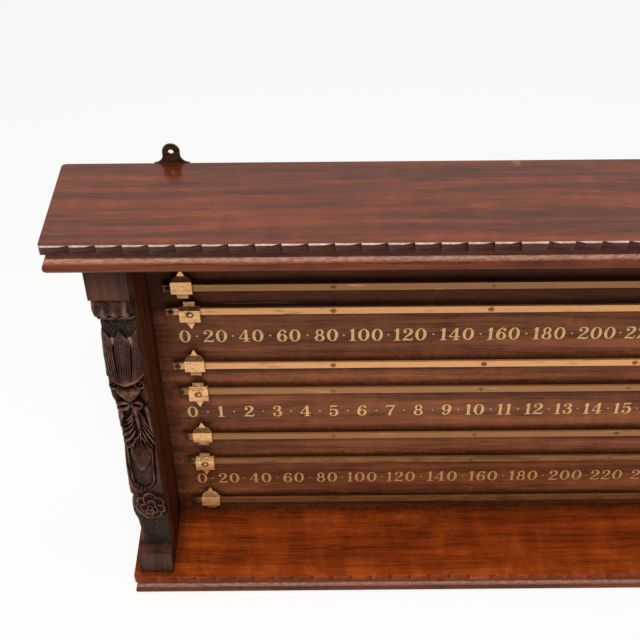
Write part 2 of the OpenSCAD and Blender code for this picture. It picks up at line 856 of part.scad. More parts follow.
// Front outline of a pointer as a prism: a wide face with bowed shoulders, tip, bevel and tab
module pointer_outline() {
    dx = (pointer_w - tip_w) / 2;
    chord = sqrt(dx * dx + slope_l * slope_l);
    bow_r = chord * chord / (8 * slope_bow) + slope_bow / 2;
    bow_x = (pointer_w + tip_w) / 4 - slope_l / chord * (bow_r - slope_bow);
    bow_z = face_tip + slope_l / 2 - dx / chord * (bow_r - slope_bow);
    depth = rear_y - face_y;
    translate([-pointer_w / 2, face_y, -face_tab]) cube([pointer_w, depth, face_tab + face_tip]);
    translate([-tab_w / 2, face_y, -tab_z - tab_l]) cube([tab_w, depth, tab_l + 1]);
    translate([0, rear_y, 0]) rotate([90, 0, 0]) linear_extrude(depth)
        polygon([[-pointer_w / 2, -face_tab + 0.5], [-pointer_w / 2, -channel - pointer_wall],
            [-tab_w / 2 - bevel_flare, -tab_z], [tab_w / 2 + bevel_flare, -tab_z],
            [pointer_w / 2, -channel - pointer_wall], [pointer_w / 2, -face_tab + 0.5]]);
    translate([-bow_x, face_y, face_tip - 0.5]) cube([2 * bow_x, depth, slope_l + 0.5]);
    for (side = [0, 1]) mirror([side, 0, 0]) intersection() {
        translate([0, face_y, face_tip - 0.5]) cube([pointer_w / 2, depth, slope_l + 0.5]);
        translate([bow_x, face_y, bow_z]) rotate([-90, 0, 0]) cylinder(h = depth, r = bow_r);
    }
    translate([0, rear_y, 0]) rotate([90, 0, 0]) linear_extrude(depth)
        polygon([[-tip_w / 2, tip_z - 0.5], [-tip_w / 2, tip_z], [-tip_end / 2, tip_z + tip_l],
            [tip_end / 2, tip_z + tip_l], [tip_w / 2, tip_z], [tip_w / 2, tip_z - 0.5]]);
}

module at_rest(n) {
    translate([rest_x(n), 0, rail_z(n)]) rotate([0, points_down(n) ? 180 : 0, 0]) children();
}

module pointer(n) {
    color(brass) in_place() at_rest(n) difference() {
        intersection() {
            union() {
                difference() {
                    along_x(pointer_w) pointer_fill();
                    along_x(pointer_w + 2) pointer_hollow();
                }
                intersection() {
                    along_x(pointer_w) pointer_fill();
                    pointer_hooks();
                }
            }
            pointer_outline();
            translate([0, face_y + crown_r, (face_tip - face_tab) / 2]) rotate([0, 90, 0])
                cylinder(h = pointer_w, r = crown_r, center = true, $fn = 180);
        }
        if (points_down(n)) {
            translate([0, face_y - 1, 0]) rotate([-90, 0, 0])
                cylinder(h = 1 + dish_d, r = dish_r);
            translate([0, face_y, 0]) rotate([-90, 0, 0])
                cylinder(h = pointer_wall + 1, r = button_shank_r + fit);
        }
    }
}

// Bowed strip whose middle lies on the inside of the face and whose ends press on the rail
module pointer_spring(n) {
    rise = rail_front_y - run_gap - inner_y;
    bow_r = (spring_l * spring_l / 4 + rise * rise) / (2 * rise);
    color(dull_brass) in_place() at_rest(n) difference() {
        intersection() {
            translate([0, inner_y + bow_r, -spring_h / 2]) cylinder(h = spring_h, r = bow_r, $fn = 96);
            translate([-spring_l / 2, inner_y, -spring_h / 2])
                cube([spring_l, rise, spring_h]);
        }
        translate([0, inner_y + bow_r, -spring_h / 2 - 1])
            cylinder(h = spring_h + 2, r = bow_r - spring_t, $fn = 96);
        if (points_down(n))
            translate([0, inner_y - 1, 0]) rotate([-90, 0, 0])
                cylinder(h = 3, r = button_shank_r + fit);
    }
}

// Domed rivet in a dished ring, whose shank passes through the face and the spring
module pointer_button(n) {
    floor_y = face_y + dish_d;
    dome_r = (button_r * button_r + button_h * button_h) / (2 * button_h);
    color(brass) in_place() at_rest(n) union() {
        intersection() {
            translate([0, floor_y + dome_r - button_h, 0]) sphere(r = dome_r);
            translate([0, floor_y, 0]) rotate([90, 0, 0])
                cylinder(h = button_h + 1, r = button_r + 1);
        }
        translate([0, floor_y, 0]) rotate([-90, 0, 0])
            cylinder(h = pointer_wall - dish_d + spring_t + 0.3, r = button_shank_r);
    }
}

back_panel();
side_board(false);  // side_board_left
side_board(true);  // side_board_right
pilaster(false);  // pilaster_left
pilaster(true);  // pilaster_right
capital(false);  // capital_left
capital(true);  // capital_right
base_block(false);  // base_block_left
base_block(true);  // base_block_right
top_board();
cornice_core();
cornice_moulding_front();
cornice_moulding_return(false);  // cornice_moulding_left
cornice_moulding_return(true);  // cornice_moulding_right
shelf_board();
base_core();
base_moulding_front();
base_moulding_return(false);  // base_moulding_left
base_moulding_return(true);  // base_moulding_right
top_plug();
top_screw();
cornice_dowels();
base_screws();
panel_screws();
rail(0);  // rail_1
rail(1);  // rail_2
rail(2);  // rail_3
rail(3);  // rail_4
rail(4);  // rail_5
rail(5);  // rail_6
rail(6);  // rail_7
rail(7);  // rail_8
rail_ferrules();
rail_screws();
stop_screws();
hanging_plate(false);  // hanging_plate_left
hanging_plate(true);  // hanging_plate_right
hanging_plate_screws();
pointer(0);  // pointer_1
pointer(1);  // pointer_2
pointer(2);  // pointer_3
pointer(3);  // pointer_4
pointer(4);  // pointer_5
pointer(5);  // pointer_6
pointer(6);  // pointer_7
pointer(7);  // pointer_8
pointer_spring(0);  // pointer_1_spring
pointer_spring(1);  // pointer_2_spring
pointer_spring(2);  // pointer_3_spring
pointer_spring(3);  // pointer_4_spring
pointer_spring(4);  // pointer_5_spring
pointer_spring(5);  // pointer_6_spring
pointer_spring(6);  // pointer_7_spring
pointer_spring(7);  // pointer_8_spring
pointer_button(0);  // pointer_1_button
pointer_button(2);  // pointer_3_button
pointer_button(4);  // pointer_5_button
pointer_button(6);  // pointer_7_button
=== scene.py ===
# %% [markdown]
# # A snooker scoreboard
# A wall board for keeping two players' scores. A mahogany case carries eight brass rails, and a
# brass pointer slides on each along a row of gilt numbers. The shapes and sizes come from the
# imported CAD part, and this script gives it carving, numbers, finishes, light and a camera.

import math

import bmesh
import bpy
import numpy as np
from mathutils import Matrix, Vector


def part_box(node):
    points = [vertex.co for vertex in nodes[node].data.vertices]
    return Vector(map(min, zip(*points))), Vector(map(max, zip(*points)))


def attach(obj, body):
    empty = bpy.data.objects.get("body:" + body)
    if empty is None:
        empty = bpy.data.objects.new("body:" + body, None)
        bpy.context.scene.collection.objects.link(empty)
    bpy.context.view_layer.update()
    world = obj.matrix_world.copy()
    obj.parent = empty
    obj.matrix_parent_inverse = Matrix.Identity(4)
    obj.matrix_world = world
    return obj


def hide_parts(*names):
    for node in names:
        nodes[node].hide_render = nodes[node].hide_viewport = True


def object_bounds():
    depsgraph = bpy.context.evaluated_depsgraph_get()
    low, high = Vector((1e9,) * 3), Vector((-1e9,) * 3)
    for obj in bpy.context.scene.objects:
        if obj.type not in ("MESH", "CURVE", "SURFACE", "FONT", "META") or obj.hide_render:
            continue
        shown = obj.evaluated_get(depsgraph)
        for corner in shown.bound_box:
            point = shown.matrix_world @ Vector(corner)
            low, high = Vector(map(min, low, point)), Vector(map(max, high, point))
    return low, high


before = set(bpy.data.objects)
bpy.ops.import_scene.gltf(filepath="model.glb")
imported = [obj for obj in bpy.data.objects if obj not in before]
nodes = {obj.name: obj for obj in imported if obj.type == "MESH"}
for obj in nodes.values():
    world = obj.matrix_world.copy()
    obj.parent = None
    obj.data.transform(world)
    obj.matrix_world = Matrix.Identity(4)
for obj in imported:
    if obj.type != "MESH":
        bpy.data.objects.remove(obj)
cad_low, cad_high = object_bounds()
print("CAD nodes:", len(nodes), "size in mm:", [round(1000 * v) for v in cad_high - cad_low])

# %% [markdown]
# Most places are counted from two faces of the real piece: the front of the panel, which carries
# the rails and numbers, and the top of the shelf. They are named once, in metres, with the few
# other sizes that several pieces share.

# %% Reference faces
MM = 0.001
PANEL_Y = 55.775 * MM
SHELF_Z = 37.5 * MM
CLEAR_HALF = 405 * MM
CASE_FRONT_Y = PANEL_Y - 81 * MM
BOARD_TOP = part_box("top_board")[1].z
MOULD_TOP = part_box("cornice_moulding_front")[1].z
LOWEST_ROW, ROW_PITCH = 67.2 * MM, 130.9 * MM
ROW_Z = [SHELF_Z + LOWEST_ROW + ROW_PITCH * k for k in (3, 2, 1, 0)]
print("number rows at", [round(z, 4) for z in ROW_Z])

# %% [markdown]
# ## Node helpers
# A material in Blender is a small graph, and a few helpers keep each graph short. They add a node
# and fill or link its inputs, or open a node group with named inputs and outputs, which is how
# an effect is built once and shared by several finishes.


# %% Helpers for shader graphs
def put(tree, kind, inputs=None, **settings):
    """Adds a node, sets its properties and fills or links its inputs."""
    node = tree.nodes.new(kind)
    for name, value in settings.items():
        setattr(node, name, value)
    for key, value in (inputs or {}).items():
        if isinstance(value, bpy.types.NodeSocket):
            tree.links.new(value, node.inputs[key])
        else:
            node.inputs[key].default_value = value
    return node


def math_of(tree, operation, first, second=0.0, clamp=False):
    """One Math node's result."""
    node = put(tree, "ShaderNodeMath", {0: first, 1: second}, operation=operation, use_clamp=clamp)
    return node.outputs[0]


def remap(tree, value, low, high, to_low=0.0, to_high=1.0):
    """A value's range low to high, turned smoothly into another range."""
    inputs = {"Value": value, "From Min": low, "From Max": high, "To Min": to_low, "To Max": to_high}
    return put(tree, "ShaderNodeMapRange", inputs, interpolation_type="SMOOTHSTEP").outputs[0]


def mix_colour(tree, factor, first, second):
    """One colour over another."""
    node = put(tree, "ShaderNodeMix", {"Factor": factor}, data_type="RGBA")
    for socket, value in ((node.inputs[6], first), (node.inputs[7], second)):
        if isinstance(value, bpy.types.NodeSocket):
            tree.links.new(value, socket)
        else:
            socket.default_value = value
    return node.outputs[2]


def open_group(name, inputs, outputs):
    """A shader node group with named sockets, and its two end nodes."""
    group = bpy.data.node_groups.new(name, "ShaderNodeTree")
    for socket, kind, default in inputs:
        made = group.interface.new_socket(socket, in_out="INPUT", socket_type=kind)
        if default is not None:
            made.default_value = default
    for socket, kind in outputs:
        group.interface.new_socket(socket, in_out="OUTPUT", socket_type=kind)
    return group, group.nodes.new("NodeGroupInput"), group.nodes.new("NodeGroupOutput")


def use_group(tree, group, inputs):
    """Places a group in a material with this material's own values."""
    return put(tree, "ShaderNodeGroup", inputs, node_tree=group)


print("graph helpers ready")

# %% [markdown]
# ## Mahogany
# Mahogany shows three things at once: broad ribbons where the grain's slope changes, fine fibre,
# and short dark pores. All run along the board, so the group stretches its noise along local X,
# and each board's material turns the coordinates until X lies along its own grain. Procedural
# noise is used because it has real scale everywhere and needs no picture.


# %% Group: mahogany grain
def stretched_noise(tree, vector, scale, detail, roughness=0.5, distortion=0.0):
    """Noise whose scale differs along each axis. Scale is in features per metre."""
    place = put(tree, "ShaderNodeVectorMath", {0: vector, 1: scale}, operation="MULTIPLY")
    settings = {
        "Vector": place.outputs[0],
        "Scale": 1.0,
        "Detail": detail,
        "Roughness": roughness,
        "Distortion": distortion,
    }
    return put(tree, "ShaderNodeTexNoise", settings).outputs[0]


def grain_group():
    """Ribbon, fibre, pores and figure, each from 0 to 1, and a height for the bump."""
    group, start, end = open_group(
        "mahogany grain",
        [("Vector", "NodeSocketVector", None), ("Ribbon Width", "NodeSocketFloat", 1.0)],
        [(s, "NodeSocketFloat") for s in ("Ribbon", "Fibre", "Pores", "Figure", "Height")],
    )
    here = start.outputs["Vector"]
    wander = stretched_noise(group, here, (2.2, 5.0, 5.0), 2.0)
    both = put(group, "ShaderNodeCombineXYZ", {1: wander, 2: wander}).outputs[0]
    bend = put(group, "ShaderNodeVectorMath", {0: both, 1: (0, 0.03, 0.03)}, operation="MULTIPLY")
    ends = {0: here, 1: bend.outputs[0]}
    along = put(group, "ShaderNodeVectorMath", ends, operation="ADD").outputs[0]
    narrow = math_of(group, "DIVIDE", 1.0, start.outputs["Ribbon Width"])
    wide = put(group, "ShaderNodeVectorMath", {0: along, "Scale": narrow}, operation="SCALE").outputs[0]
    ribbon = stretched_noise(group, wide, (2.4, 62.0, 62.0), 3.0, 0.55)
    fibre = stretched_noise(group, along, (14.0, 640.0, 640.0), 4.0, 0.6)
    pores = stretched_noise(group, along, (130.0, 1500.0, 1500.0), 2.0, 0.5)
    figure = stretched_noise(group, along, (34.0, 16.0, 16.0), 3.0, 0.6, 0.6)
    masks = {
        "Ribbon": remap(group, ribbon, 0.34, 0.68),
        "Fibre": remap(group, fibre, 0.3, 0.7),
        "Pores": remap(group, pores, 0.6, 0.74),
        "Figure": remap(group, figure, 0.35, 0.7),
    }
    raised = math_of(group, "MULTIPLY", masks["Fibre"], 0.35)
    height = math_of(group, "SUBTRACT", raised, masks["Pores"])
    for name, socket in {**masks, "Height": height}.items():
        group.links.new(socket, end.inputs[name])
    return group


GRAIN = grain_group()
print("group:", GRAIN.name, [s.name for s in GRAIN.interface.items_tree])

# %% [markdown]
# Corners are painted darker, as gathered dust and polish and as painted shade, and arrises paler
# where hands rub. One group finds corners with ambient occlusion, and one finds arrises by
# comparing the true normal with the one a small bevel would have.


# %% Groups: dirt and painted shade in corners, wear on arrises
def grime_group():
    """1 deep in a corner, 0 in the open, broken up by noise."""
    group, start, end = open_group(
        "corner_shade_and_dirt",
        [("Vector", "NodeSocketVector", None), ("Reach", "NodeSocketFloat", 0.01)],
        [("ShadeAndDirt", "NodeSocketFloat")],
    )
    reach = {"Distance": start.outputs["Reach"]}
    hollow = put(group, "ShaderNodeAmbientOcclusion", reach, samples=6).outputs["AO"]
    speck = stretched_noise(group, start.outputs["Vector"], (160.0,) * 3, 3.0)
    shade = math_of(group, "ADD", hollow, remap(group, speck, 0.3, 0.7, -0.12, 0.12))
    group.links.new(remap(group, shade, 0.95, 0.35), end.inputs["ShadeAndDirt"])
    return group


def wear_group():
    """1 on an arris, 0 on a flat face, broken up by noise."""
    group, start, end = open_group(
        "edge wear",
        [("Vector", "NodeSocketVector", None), ("Width", "NodeSocketFloat", 0.001)],
        [("Wear", "NodeSocketFloat")],
    )
    round_normal = put(group, "ShaderNodeBevel", {"Radius": start.outputs["Width"]}, samples=4)
    true_normal = put(group, "ShaderNodeNewGeometry").outputs["Normal"]
    normals = {0: round_normal.outputs[0], 1: true_normal}
    match = put(group, "ShaderNodeVectorMath", normals, operation="DOT_PRODUCT")
    edge = remap(group, match.outputs["Value"], 0.995, 0.9)
    uneven = stretched_noise(group, start.outputs["Vector"], (45.0,) * 3, 4.0, 0.65)
    wear = math_of(group, "MULTIPLY", edge, remap(group, uneven, 0.42, 0.62))
    group.links.new(wear, end.inputs["Wear"])
    return group


CORNER_SHADE_AND_DIRT, WEAR = grime_group(), wear_group()
print("groups:", CORNER_SHADE_AND_DIRT.name, "and", WEAR.name)

# %% [markdown]
# A mask is a number from 0 to 1 over the surface, and most masks here ask where a point lies or
# which way it faces. Two helpers split those into X, Y and Z. A third makes a darker or paler
# tone out of a colour, so that dirt, wear, painted shade and painted highlights stay related to the
# wood or metal they are on.


# %% Places, facings and tones
def place_parts(tree, place):
    """X, Y and Z of a place on the piece, in metres."""
    return put(tree, "ShaderNodeSeparateXYZ", {0: place}).outputs


def facing_parts(tree):
    """X, Y and Z of the surface's outward direction."""
    return place_parts(tree, put(tree, "ShaderNodeNewGeometry").outputs["Normal"])


def toned(colour, factor, lift=0.0):
    """A colour multiplied by a factor and then lifted."""
    return tuple(min(1, factor * c + lift) for c in colour[:3]) + (1,)


print("half as bright:", toned((0.2, 0.1, 0.06, 1), 0.5))

# %% [markdown]
# A colour is laid over a finish in places that belong to one piece: a painted highlight on a
# moulding's crown and arris, painted shade and dirt in a screw's slot, painted shade on a pointer,
# dark at a rail's ends, and a scuff. One group lays a colour over a finish in fine, uneven touches,
# and a short function for each place gives the mask. Keeping the place apart from the effect is
# what lets wood and brass share it.


# %% Group: wear, dirt and painted light laid over a finish
def rubbed_group():
    """Another colour laid over a finish where a mask is 1, broken up by fine noise."""
    # This group lays wear and dirt, and also painted highlights and painted shade.
    group, start, end = open_group(
        "rubbed place",
        [
            ("Vector", "NodeSocketVector", None),
            ("Mask", "NodeSocketFloat", 0.0),
            ("Amount", "NodeSocketFloat", 0.7),
            ("Finish", "NodeSocketColor", None),
            ("WearAndLight", "NodeSocketColor", None),
        ],
        [("Colour", "NodeSocketColor")],
    )
    here = start.outputs
    noise = stretched_noise(group, here["Vector"], (150.0, 500.0, 500.0), 3.0, 0.7)
    touches = math_of(group, "MULTIPLY", here["Mask"], remap(group, noise, 0.35, 0.62, 0.45, 1.0))
    factor = math_of(group, "MULTIPLY", touches, here["Amount"])
    colour = mix_colour(group, factor, here["Finish"], here["WearAndLight"])
    group.links.new(colour, end.inputs["Colour"])
    return group


WEAR_AND_LIGHT = rubbed_group()


def rub(material, where, colour, amount):
    """Changes a finish's colour in one place, where the function called where makes the mask."""
    tree = material.node_tree
    base = tree.nodes["Principled BSDF"].inputs["Base Color"]
    place = put(tree, "ShaderNodeTexCoord").outputs["Object"]
    values = {
        "Vector": place,
        "Mask": where(tree, place),
        "Amount": amount,
        "Finish": base.links[0].from_socket,
        "WearAndLight": colour,
    }
    tree.links.new(use_group(tree, WEAR_AND_LIGHT, values).outputs[0], base)


print("group:", WEAR_AND_LIGHT.name)

# %% [markdown]
# One function makes every mahogany finish. The boards differ in tone, in grain direction, in how
# the polish has worn and in how much shade is painted on them, so these are its arguments. Turning
# the coordinates puts the grain along the board's length, and a shift keeps neighbouring boards
# from sharing a pattern. The polish is a thin varnish: smooth where it is whole, and duller where
# shade is painted, in corners and in the places that cut marks.

# %% One board's finish
GRAIN_TURN = {"x": (0, 0, 0), "y": (0, 0, math.pi / 2), "z": (0, math.pi / 2, 0)}
CORNER_REACH = 30 * MM
ARRIS_WIDTH = 1.2 * MM
PORE_DEPTH = 0.06 * MM


def new_material(name):
    """An empty material: its tree, its Principled shader and the object's own coordinates."""
    material = bpy.data.materials.new(name)
    material.use_nodes = True
    tree = material.node_tree
    shader = tree.nodes["Principled BSDF"]
    place = put(tree, "ShaderNodeTexCoord").outputs["Object"]
    return material, tree, shader, place


def wood_colour(tree, wood, tones, figure):
    """Colour of clean wood: ribbons and figure choose the tone, then come fibre and pores."""
    dark, middle, light = tones
    ribbons = math_of(tree, "MULTIPLY", wood["Ribbon"], 0.85 - figure)
    tone = math_of(tree, "ADD", ribbons, math_of(tree, "MULTIPLY", wood["Figure"], figure))
    tone = math_of(tree, "ADD", tone, math_of(tree, "MULTIPLY", wood["Fibre"], 0.15))
    colour = mix_colour(tree, remap(tree, tone, 0.1, 0.6), dark, middle)
    colour = mix_colour(tree, remap(tree, tone, 0.55, 0.95), colour, light)
    colour = mix_colour(tree, math_of(tree, "MULTIPLY", wood["Fibre"], 0.4), colour, light)
    return mix_colour(tree, math_of(tree, "MULTIPLY", wood["Pores"], 0.8), colour, toned(dark, 0.35))


def mahogany(
    name, grain, tones, shift, polish=0.24, ribbon=1.0, figure=0.2, corner_shade_and_dirt=0.6, shine=0.3, cut=None
):
    """Polished mahogany with its grain along x, y or z, from a dark, a middle and a light tone."""
    dark, _, light = tones
    material, tree, shader, place = new_material(name)
    turn = {"Vector": place, "Location": shift, "Rotation": GRAIN_TURN[grain]}
    turned = put(tree, "ShaderNodeMapping", turn).outputs[0]
    wood = use_group(tree, GRAIN, {"Vector": turned, "Ribbon Width": ribbon}).outputs
    corner = use_group(tree, CORNER_SHADE_AND_DIRT, {"Vector": place, "Reach": CORNER_REACH}).outputs[0]
    arris = use_group(tree, WEAR, {"Vector": place, "Width": ARRIS_WIDTH}).outputs[0]
    colour = wood_colour(tree, wood, tones, figure)
    # Dirt and painted shade: corners found by ambient occlusion are darkened.
    colour = mix_colour(tree, math_of(tree, "MULTIPLY", corner, corner_shade_and_dirt), colour, toned(dark, 0.35))
    colour = mix_colour(tree, math_of(tree, "MULTIPLY", arris, 0.55), colour, toned(light, 1.7, 0.02))
    dull = math_of(tree, "MULTIPLY", corner, 0.25)
    # Painted shade: where the function given as cut marks a place, the wood is darkened and dulled.
    if cut:
        shade_mask = cut(tree, place)
        painted_shade = math_of(tree, "MULTIPLY", shade_mask, 0.75)
        colour = mix_colour(tree, painted_shade, colour, toned(dark, 0.55))
        dull = math_of(tree, "ADD", dull, math_of(tree, "MULTIPLY", shade_mask, 0.3))
    tree.links.new(colour, shader.inputs["Base Color"])
    smear = stretched_noise(tree, place, (9.0, 9.0, 9.0), 4.0, 0.6)
    gloss = remap(tree, smear, 0.3, 0.7, polish - 0.05, polish + 0.07)
    tree.links.new(math_of(tree, "ADD", gloss, dull, clamp=True), shader.inputs["Roughness"])
    pores = {"Height": wood["Height"], "Strength": 0.3, "Distance": PORE_DEPTH}
    tree.links.new(put(tree, "ShaderNodeBump", pores).outputs[0], shader.inputs["Normal"])
    shader.inputs["Specular IOR Level"].default_value = shine
    return material


print("grain can run along", sorted(GRAIN_TURN))

# %% [markdown]
# Shade is painted nearly black in three places: in the gouge cuts of the cornice board's edge, on
# the narrow ledge over the round moulding, and on the panel up under the cornice, where it is the
# cornice's painted shadow. Each place is worked out from the sizes of the pieces, so the dark stays
# on the wood from every side.

# %% Places where shade is painted
EDGE_BACK_Y, EDGE_FRONT_Y = cad_low.y + 12 * MM, cad_low.y + 8 * MM
CUT_HEAD_Z, CUT_FULL_Z = BOARD_TOP - 0.9 * MM, BOARD_TOP - 2.2 * MM
LEDGE_FOOT_Z, LEDGE_Z = MOULD_TOP - 1.6 * MM, MOULD_TOP - 0.4 * MM
SHADE_FOOT_Z, SHADE_FULL_Z = SHELF_Z + 345 * MM, SHELF_Z + 400 * MM


def edge_cut(tree, place):
    """1 on the gouge cuts along the board's front edge, where shade is painted, 0 on its top."""
    parts = place_parts(tree, place)
    below = remap(tree, parts["Z"], CUT_HEAD_Z, CUT_FULL_Z)
    return math_of(tree, "MULTIPLY", below, remap(tree, parts["Y"], EDGE_BACK_Y, EDGE_FRONT_Y))


def quirk(tree, place):
    """1 on the narrow ledge over the round moulding, under the board, where shade is painted."""
    return remap(tree, place_parts(tree, place)["Z"], LEDGE_FOOT_Z, LEDGE_Z)


def under_cornice(tree, place):
    """1 on the panel's upper part, under the cornice, where the cornice's shadow is painted."""
    return remap(tree, place_parts(tree, place)["Z"], SHADE_FOOT_Z, SHADE_FULL_Z, 0.0, 0.9)


print("gouge cuts lie under", round(1000 * CUT_HEAD_Z, 1), "mm")

# %% [markdown]
# A highlight is painted where a piece stands proud: along the crown of the round moulding and on
# the board's front arris. The panel also has one long pale scuff above its third rail. A highlight
# depends on which way the surface faces, so the two highlight masks read the facing as well as the
# place.

# %% Painted highlights, and a scuff
ARRIS_FOOT_Z = BOARD_TOP - 1.8 * MM
SCUFF_LEFT, SCUFF_RIGHT, SCUFF_Z = -326.5 * MM, -221.9 * MM, SHELF_Z + 380.5 * MM
SCUFF_HALF, SCUFF_CORE, SCUFF_SWAY = 1.0 * MM, 0.3 * MM, 1.2 * MM
SCUFF_LEFT_FADE, SCUFF_RIGHT_FADE = 20 * MM, 30 * MM


def crown(tree, place):
    """1 along the crown of the round moulding under the board, where a highlight is painted."""
    clear = math_of(tree, "SUBTRACT", 1.0, quirk(tree, place))
    return math_of(tree, "MULTIPLY", remap(tree, facing_parts(tree)["Z"], 0.36, 0.8), clear)


def front_arris(tree, place):
    """1 on the rounded arris between the top and the carved front, where a highlight is painted."""
    parts, facing = place_parts(tree, place), facing_parts(tree)
    off_level = remap(tree, facing["Z"], 0.985, 0.93)
    turning = math_of(tree, "MULTIPLY", off_level, remap(tree, facing["Y"], -0.15, -0.35))
    high = remap(tree, parts["Z"], ARRIS_FOOT_Z, CUT_HEAD_Z)
    near = math_of(tree, "MULTIPLY", high, remap(tree, parts["Y"], EDGE_BACK_Y, EDGE_FRONT_Y))
    return math_of(tree, "MULTIPLY", turning, near)


def scuff(tree, place):
    """1 on a long scuff across the panel, above the third rail."""
    parts = place_parts(tree, place)
    wander = stretched_noise(tree, place, (14, 1, 1), 2.0)
    level = math_of(tree, "ADD", remap(tree, wander, 0.2, 0.8, -SCUFF_SWAY, SCUFF_SWAY), SCUFF_Z)
    away = math_of(tree, "ABSOLUTE", math_of(tree, "SUBTRACT", parts["Z"], level))
    line = remap(tree, away, SCUFF_HALF, SCUFF_CORE)
    left = remap(tree, parts["X"], SCUFF_LEFT, SCUFF_LEFT + SCUFF_LEFT_FADE)
    right = remap(tree, parts["X"], SCUFF_RIGHT, SCUFF_RIGHT - SCUFF_RIGHT_FADE)
    return math_of(tree, "MULTIPLY", line, math_of(tree, "MULTIPLY", left, right))


print("scuff is", round(1000 * (SCUFF_RIGHT - SCUFF_LEFT)), "mm long")

# %% [markdown]
# The carving's cuts are painted nearly black, as dirt and painted shade, and its ridges brown, as
# wear and a painted highlight. How far each point stands above or below its surroundings is
# measured when the mesh is made, further down, and kept on the mesh as an attribute called stand.
# A second attribute is 1 on two wedges painted pale and -1 on the punched grounds, which get
# painted shade. A material can read both anywhere, which a picture could not do.

# %% Finish of the carving
CUT_SHADE_AND_DIRT = (0.004, 0.0024, 0.0018, 1)
RIDGE_WEAR_AND_HIGHLIGHT = (0.28, 0.135, 0.088, 1)
GROUND_SHADE = (0.032, 0.027, 0.020, 1)
WEDGE_PALE = (0.46, 0.28, 0.20, 1)


def carved_finish(material):
    """Paints shade and dirt in cuts, wear and highlight on ridges, shade on grounds, and pale wedges.
    """
    tree = material.node_tree
    base = tree.nodes["Principled BSDF"].inputs["Base Color"]
    stand = put(tree, "ShaderNodeAttribute", attribute_name="stand").outputs["Fac"]
    bare = put(tree, "ShaderNodeAttribute", attribute_name="bare").outputs["Fac"]
    place = put(tree, "ShaderNodeTexCoord").outputs["Object"]
    patchy = remap(tree, stretched_noise(tree, place, (60.0,) * 3, 4.0, 0.6), 0.38, 0.62, 0.1, 1.0)
    # Dirt and painted shade in the cuts, wear and a painted highlight on the ridges, painted shade on
    # the punched grounds, and two wedges painted pale.
    layers = (
        (remap(tree, stand, 0.05, -0.8, 0, 0.85), CUT_SHADE_AND_DIRT),
        (math_of(tree, "MULTIPLY", remap(tree, stand, 0.15, 1.0, 0, 0.65), patchy), RIDGE_WEAR_AND_HIGHLIGHT),
        (math_of(tree, "MULTIPLY", bare, -0.55, clamp=True), GROUND_SHADE),
        (math_of(tree, "MULTIPLY", bare, 0.6, clamp=True), WEDGE_PALE),
    )
    colour = base.links[0].from_socket
    for mask, paint in layers:
        colour = mix_colour(tree, mask, colour, paint)
    tree.links.new(colour, base)


print("ridges wear to", RIDGE_WEAR_AND_HIGHLIGHT[:3])

# %% [markdown]
# Each board's three tones run from the dark of its ribbons to the light of its fibre. The shelf
# is the most orange, and the capitals and the carving are nearly black.

# %% Every mahogany finish
RED = [(0.046, 0.0100, 0.0038, 1), (0.110, 0.0205, 0.0050, 1), (0.20, 0.0400, 0.0095, 1)]
WARM = [(0.040, 0.0085, 0.0030, 1), (0.135, 0.0270, 0.0068, 1), (0.23, 0.0480, 0.0110, 1)]
PANEL = [(0.085, 0.0240, 0.0100, 1), (0.200, 0.0610, 0.0240, 1), (0.32, 0.1050, 0.0420, 1)]
ORANGE = [(0.085, 0.0125, 0.0026, 1), (0.200, 0.0310, 0.0045, 1), (0.35, 0.0640, 0.0090, 1)]
CAPITAL = [(0.026, 0.0105, 0.0066, 1), (0.062, 0.0240, 0.0140, 1), (0.115, 0.0420, 0.0220, 1)]
BLACK_BROWN = [(0.012, 0.0036, 0.0019, 1), (0.034, 0.0092, 0.0040, 1), (0.075, 0.0205, 0.0085, 1)]
DEEP = [(0.032, 0.0090, 0.0036, 1), (0.096, 0.0240, 0.0082, 1), (0.17, 0.0450, 0.0140, 1)]
# On the mouldings, cut gives the ledge under the board, where shade is painted.
MOULDING = {"polish": 0.36, "shine": 0.2, "cut": quirk}
WOOD = {
    "top": mahogany(
        "polished top", "x", RED, (0.3, 0.1, 0.7), polish=0.2, ribbon=0.7, shine=0.5, cut=edge_cut
    ),
    "shelf": mahogany("shelf", "x", ORANGE, (1.7, 0.4, 0.2), figure=0.35, shine=0.12),
    "panel": mahogany(
        "panel", "x", PANEL, (2.1, 0.0, 1.3), polish=0.3, corner_shade_and_dirt=0.85, shine=0.1, cut=under_cornice
    ),
    "side": mahogany("side boards", "z", DEEP, (0.9, 2.4, 0.6), polish=0.45, shine=0.06),
    "front": mahogany("front mouldings", "x", WARM, (3.3, 1.1, 0.2), **MOULDING),
    "return": mahogany("side mouldings", "y", WARM, (0.4, 1.9, 2.2), **MOULDING),
    "core": mahogany("inner frame", "x", RED, (4.2, 0.8, 1.2), polish=0.4),
    "block": mahogany("capitals", "z", CAPITAL, (1.2, 0.3, 0.5), polish=0.4, shine=0.12),
    "carved": mahogany(
        "carved pilasters", "z", BLACK_BROWN, (0.8, 1.3, 0.2), polish=0.3, corner_shade_and_dirt=0.9, shine=0.12
    ),
    "plug": mahogany("plug", "x", PANEL, (0.2, 0.9, 0.5), ribbon=0.4),
}
CROWN_HIGHLIGHT = (0.52, 0.29, 0.22, 1)
ARRIS_HIGHLIGHT = (0.66, 0.47, 0.40, 1)
SCUFF_DUST = (0.30, 0.24, 0.20, 1)
carved_finish(WOOD["carved"])
# Painted highlight along the crown of the round mouldings.
for name in ("front", "return"):
    rub(WOOD[name], crown, CROWN_HIGHLIGHT, 0.75)
# Painted highlight on the top board's front arris.
rub(WOOD["top"], front_arris, ARRIS_HIGHLIGHT, 0.85)
rub(WOOD["panel"], scuff, SCUFF_DUST, 0.7)
print("wood finishes:", sorted(WOOD))

# %% [markdown]
# ## Brass
# The rails and pointers are brass with decades of handling: bright where fingers slide them,
# brown in patches elsewhere, with fine specks. One group makes the patches, specks and scratches
# of every brass and steel finish. They run along X, the way the rails are drawn and rubbed.


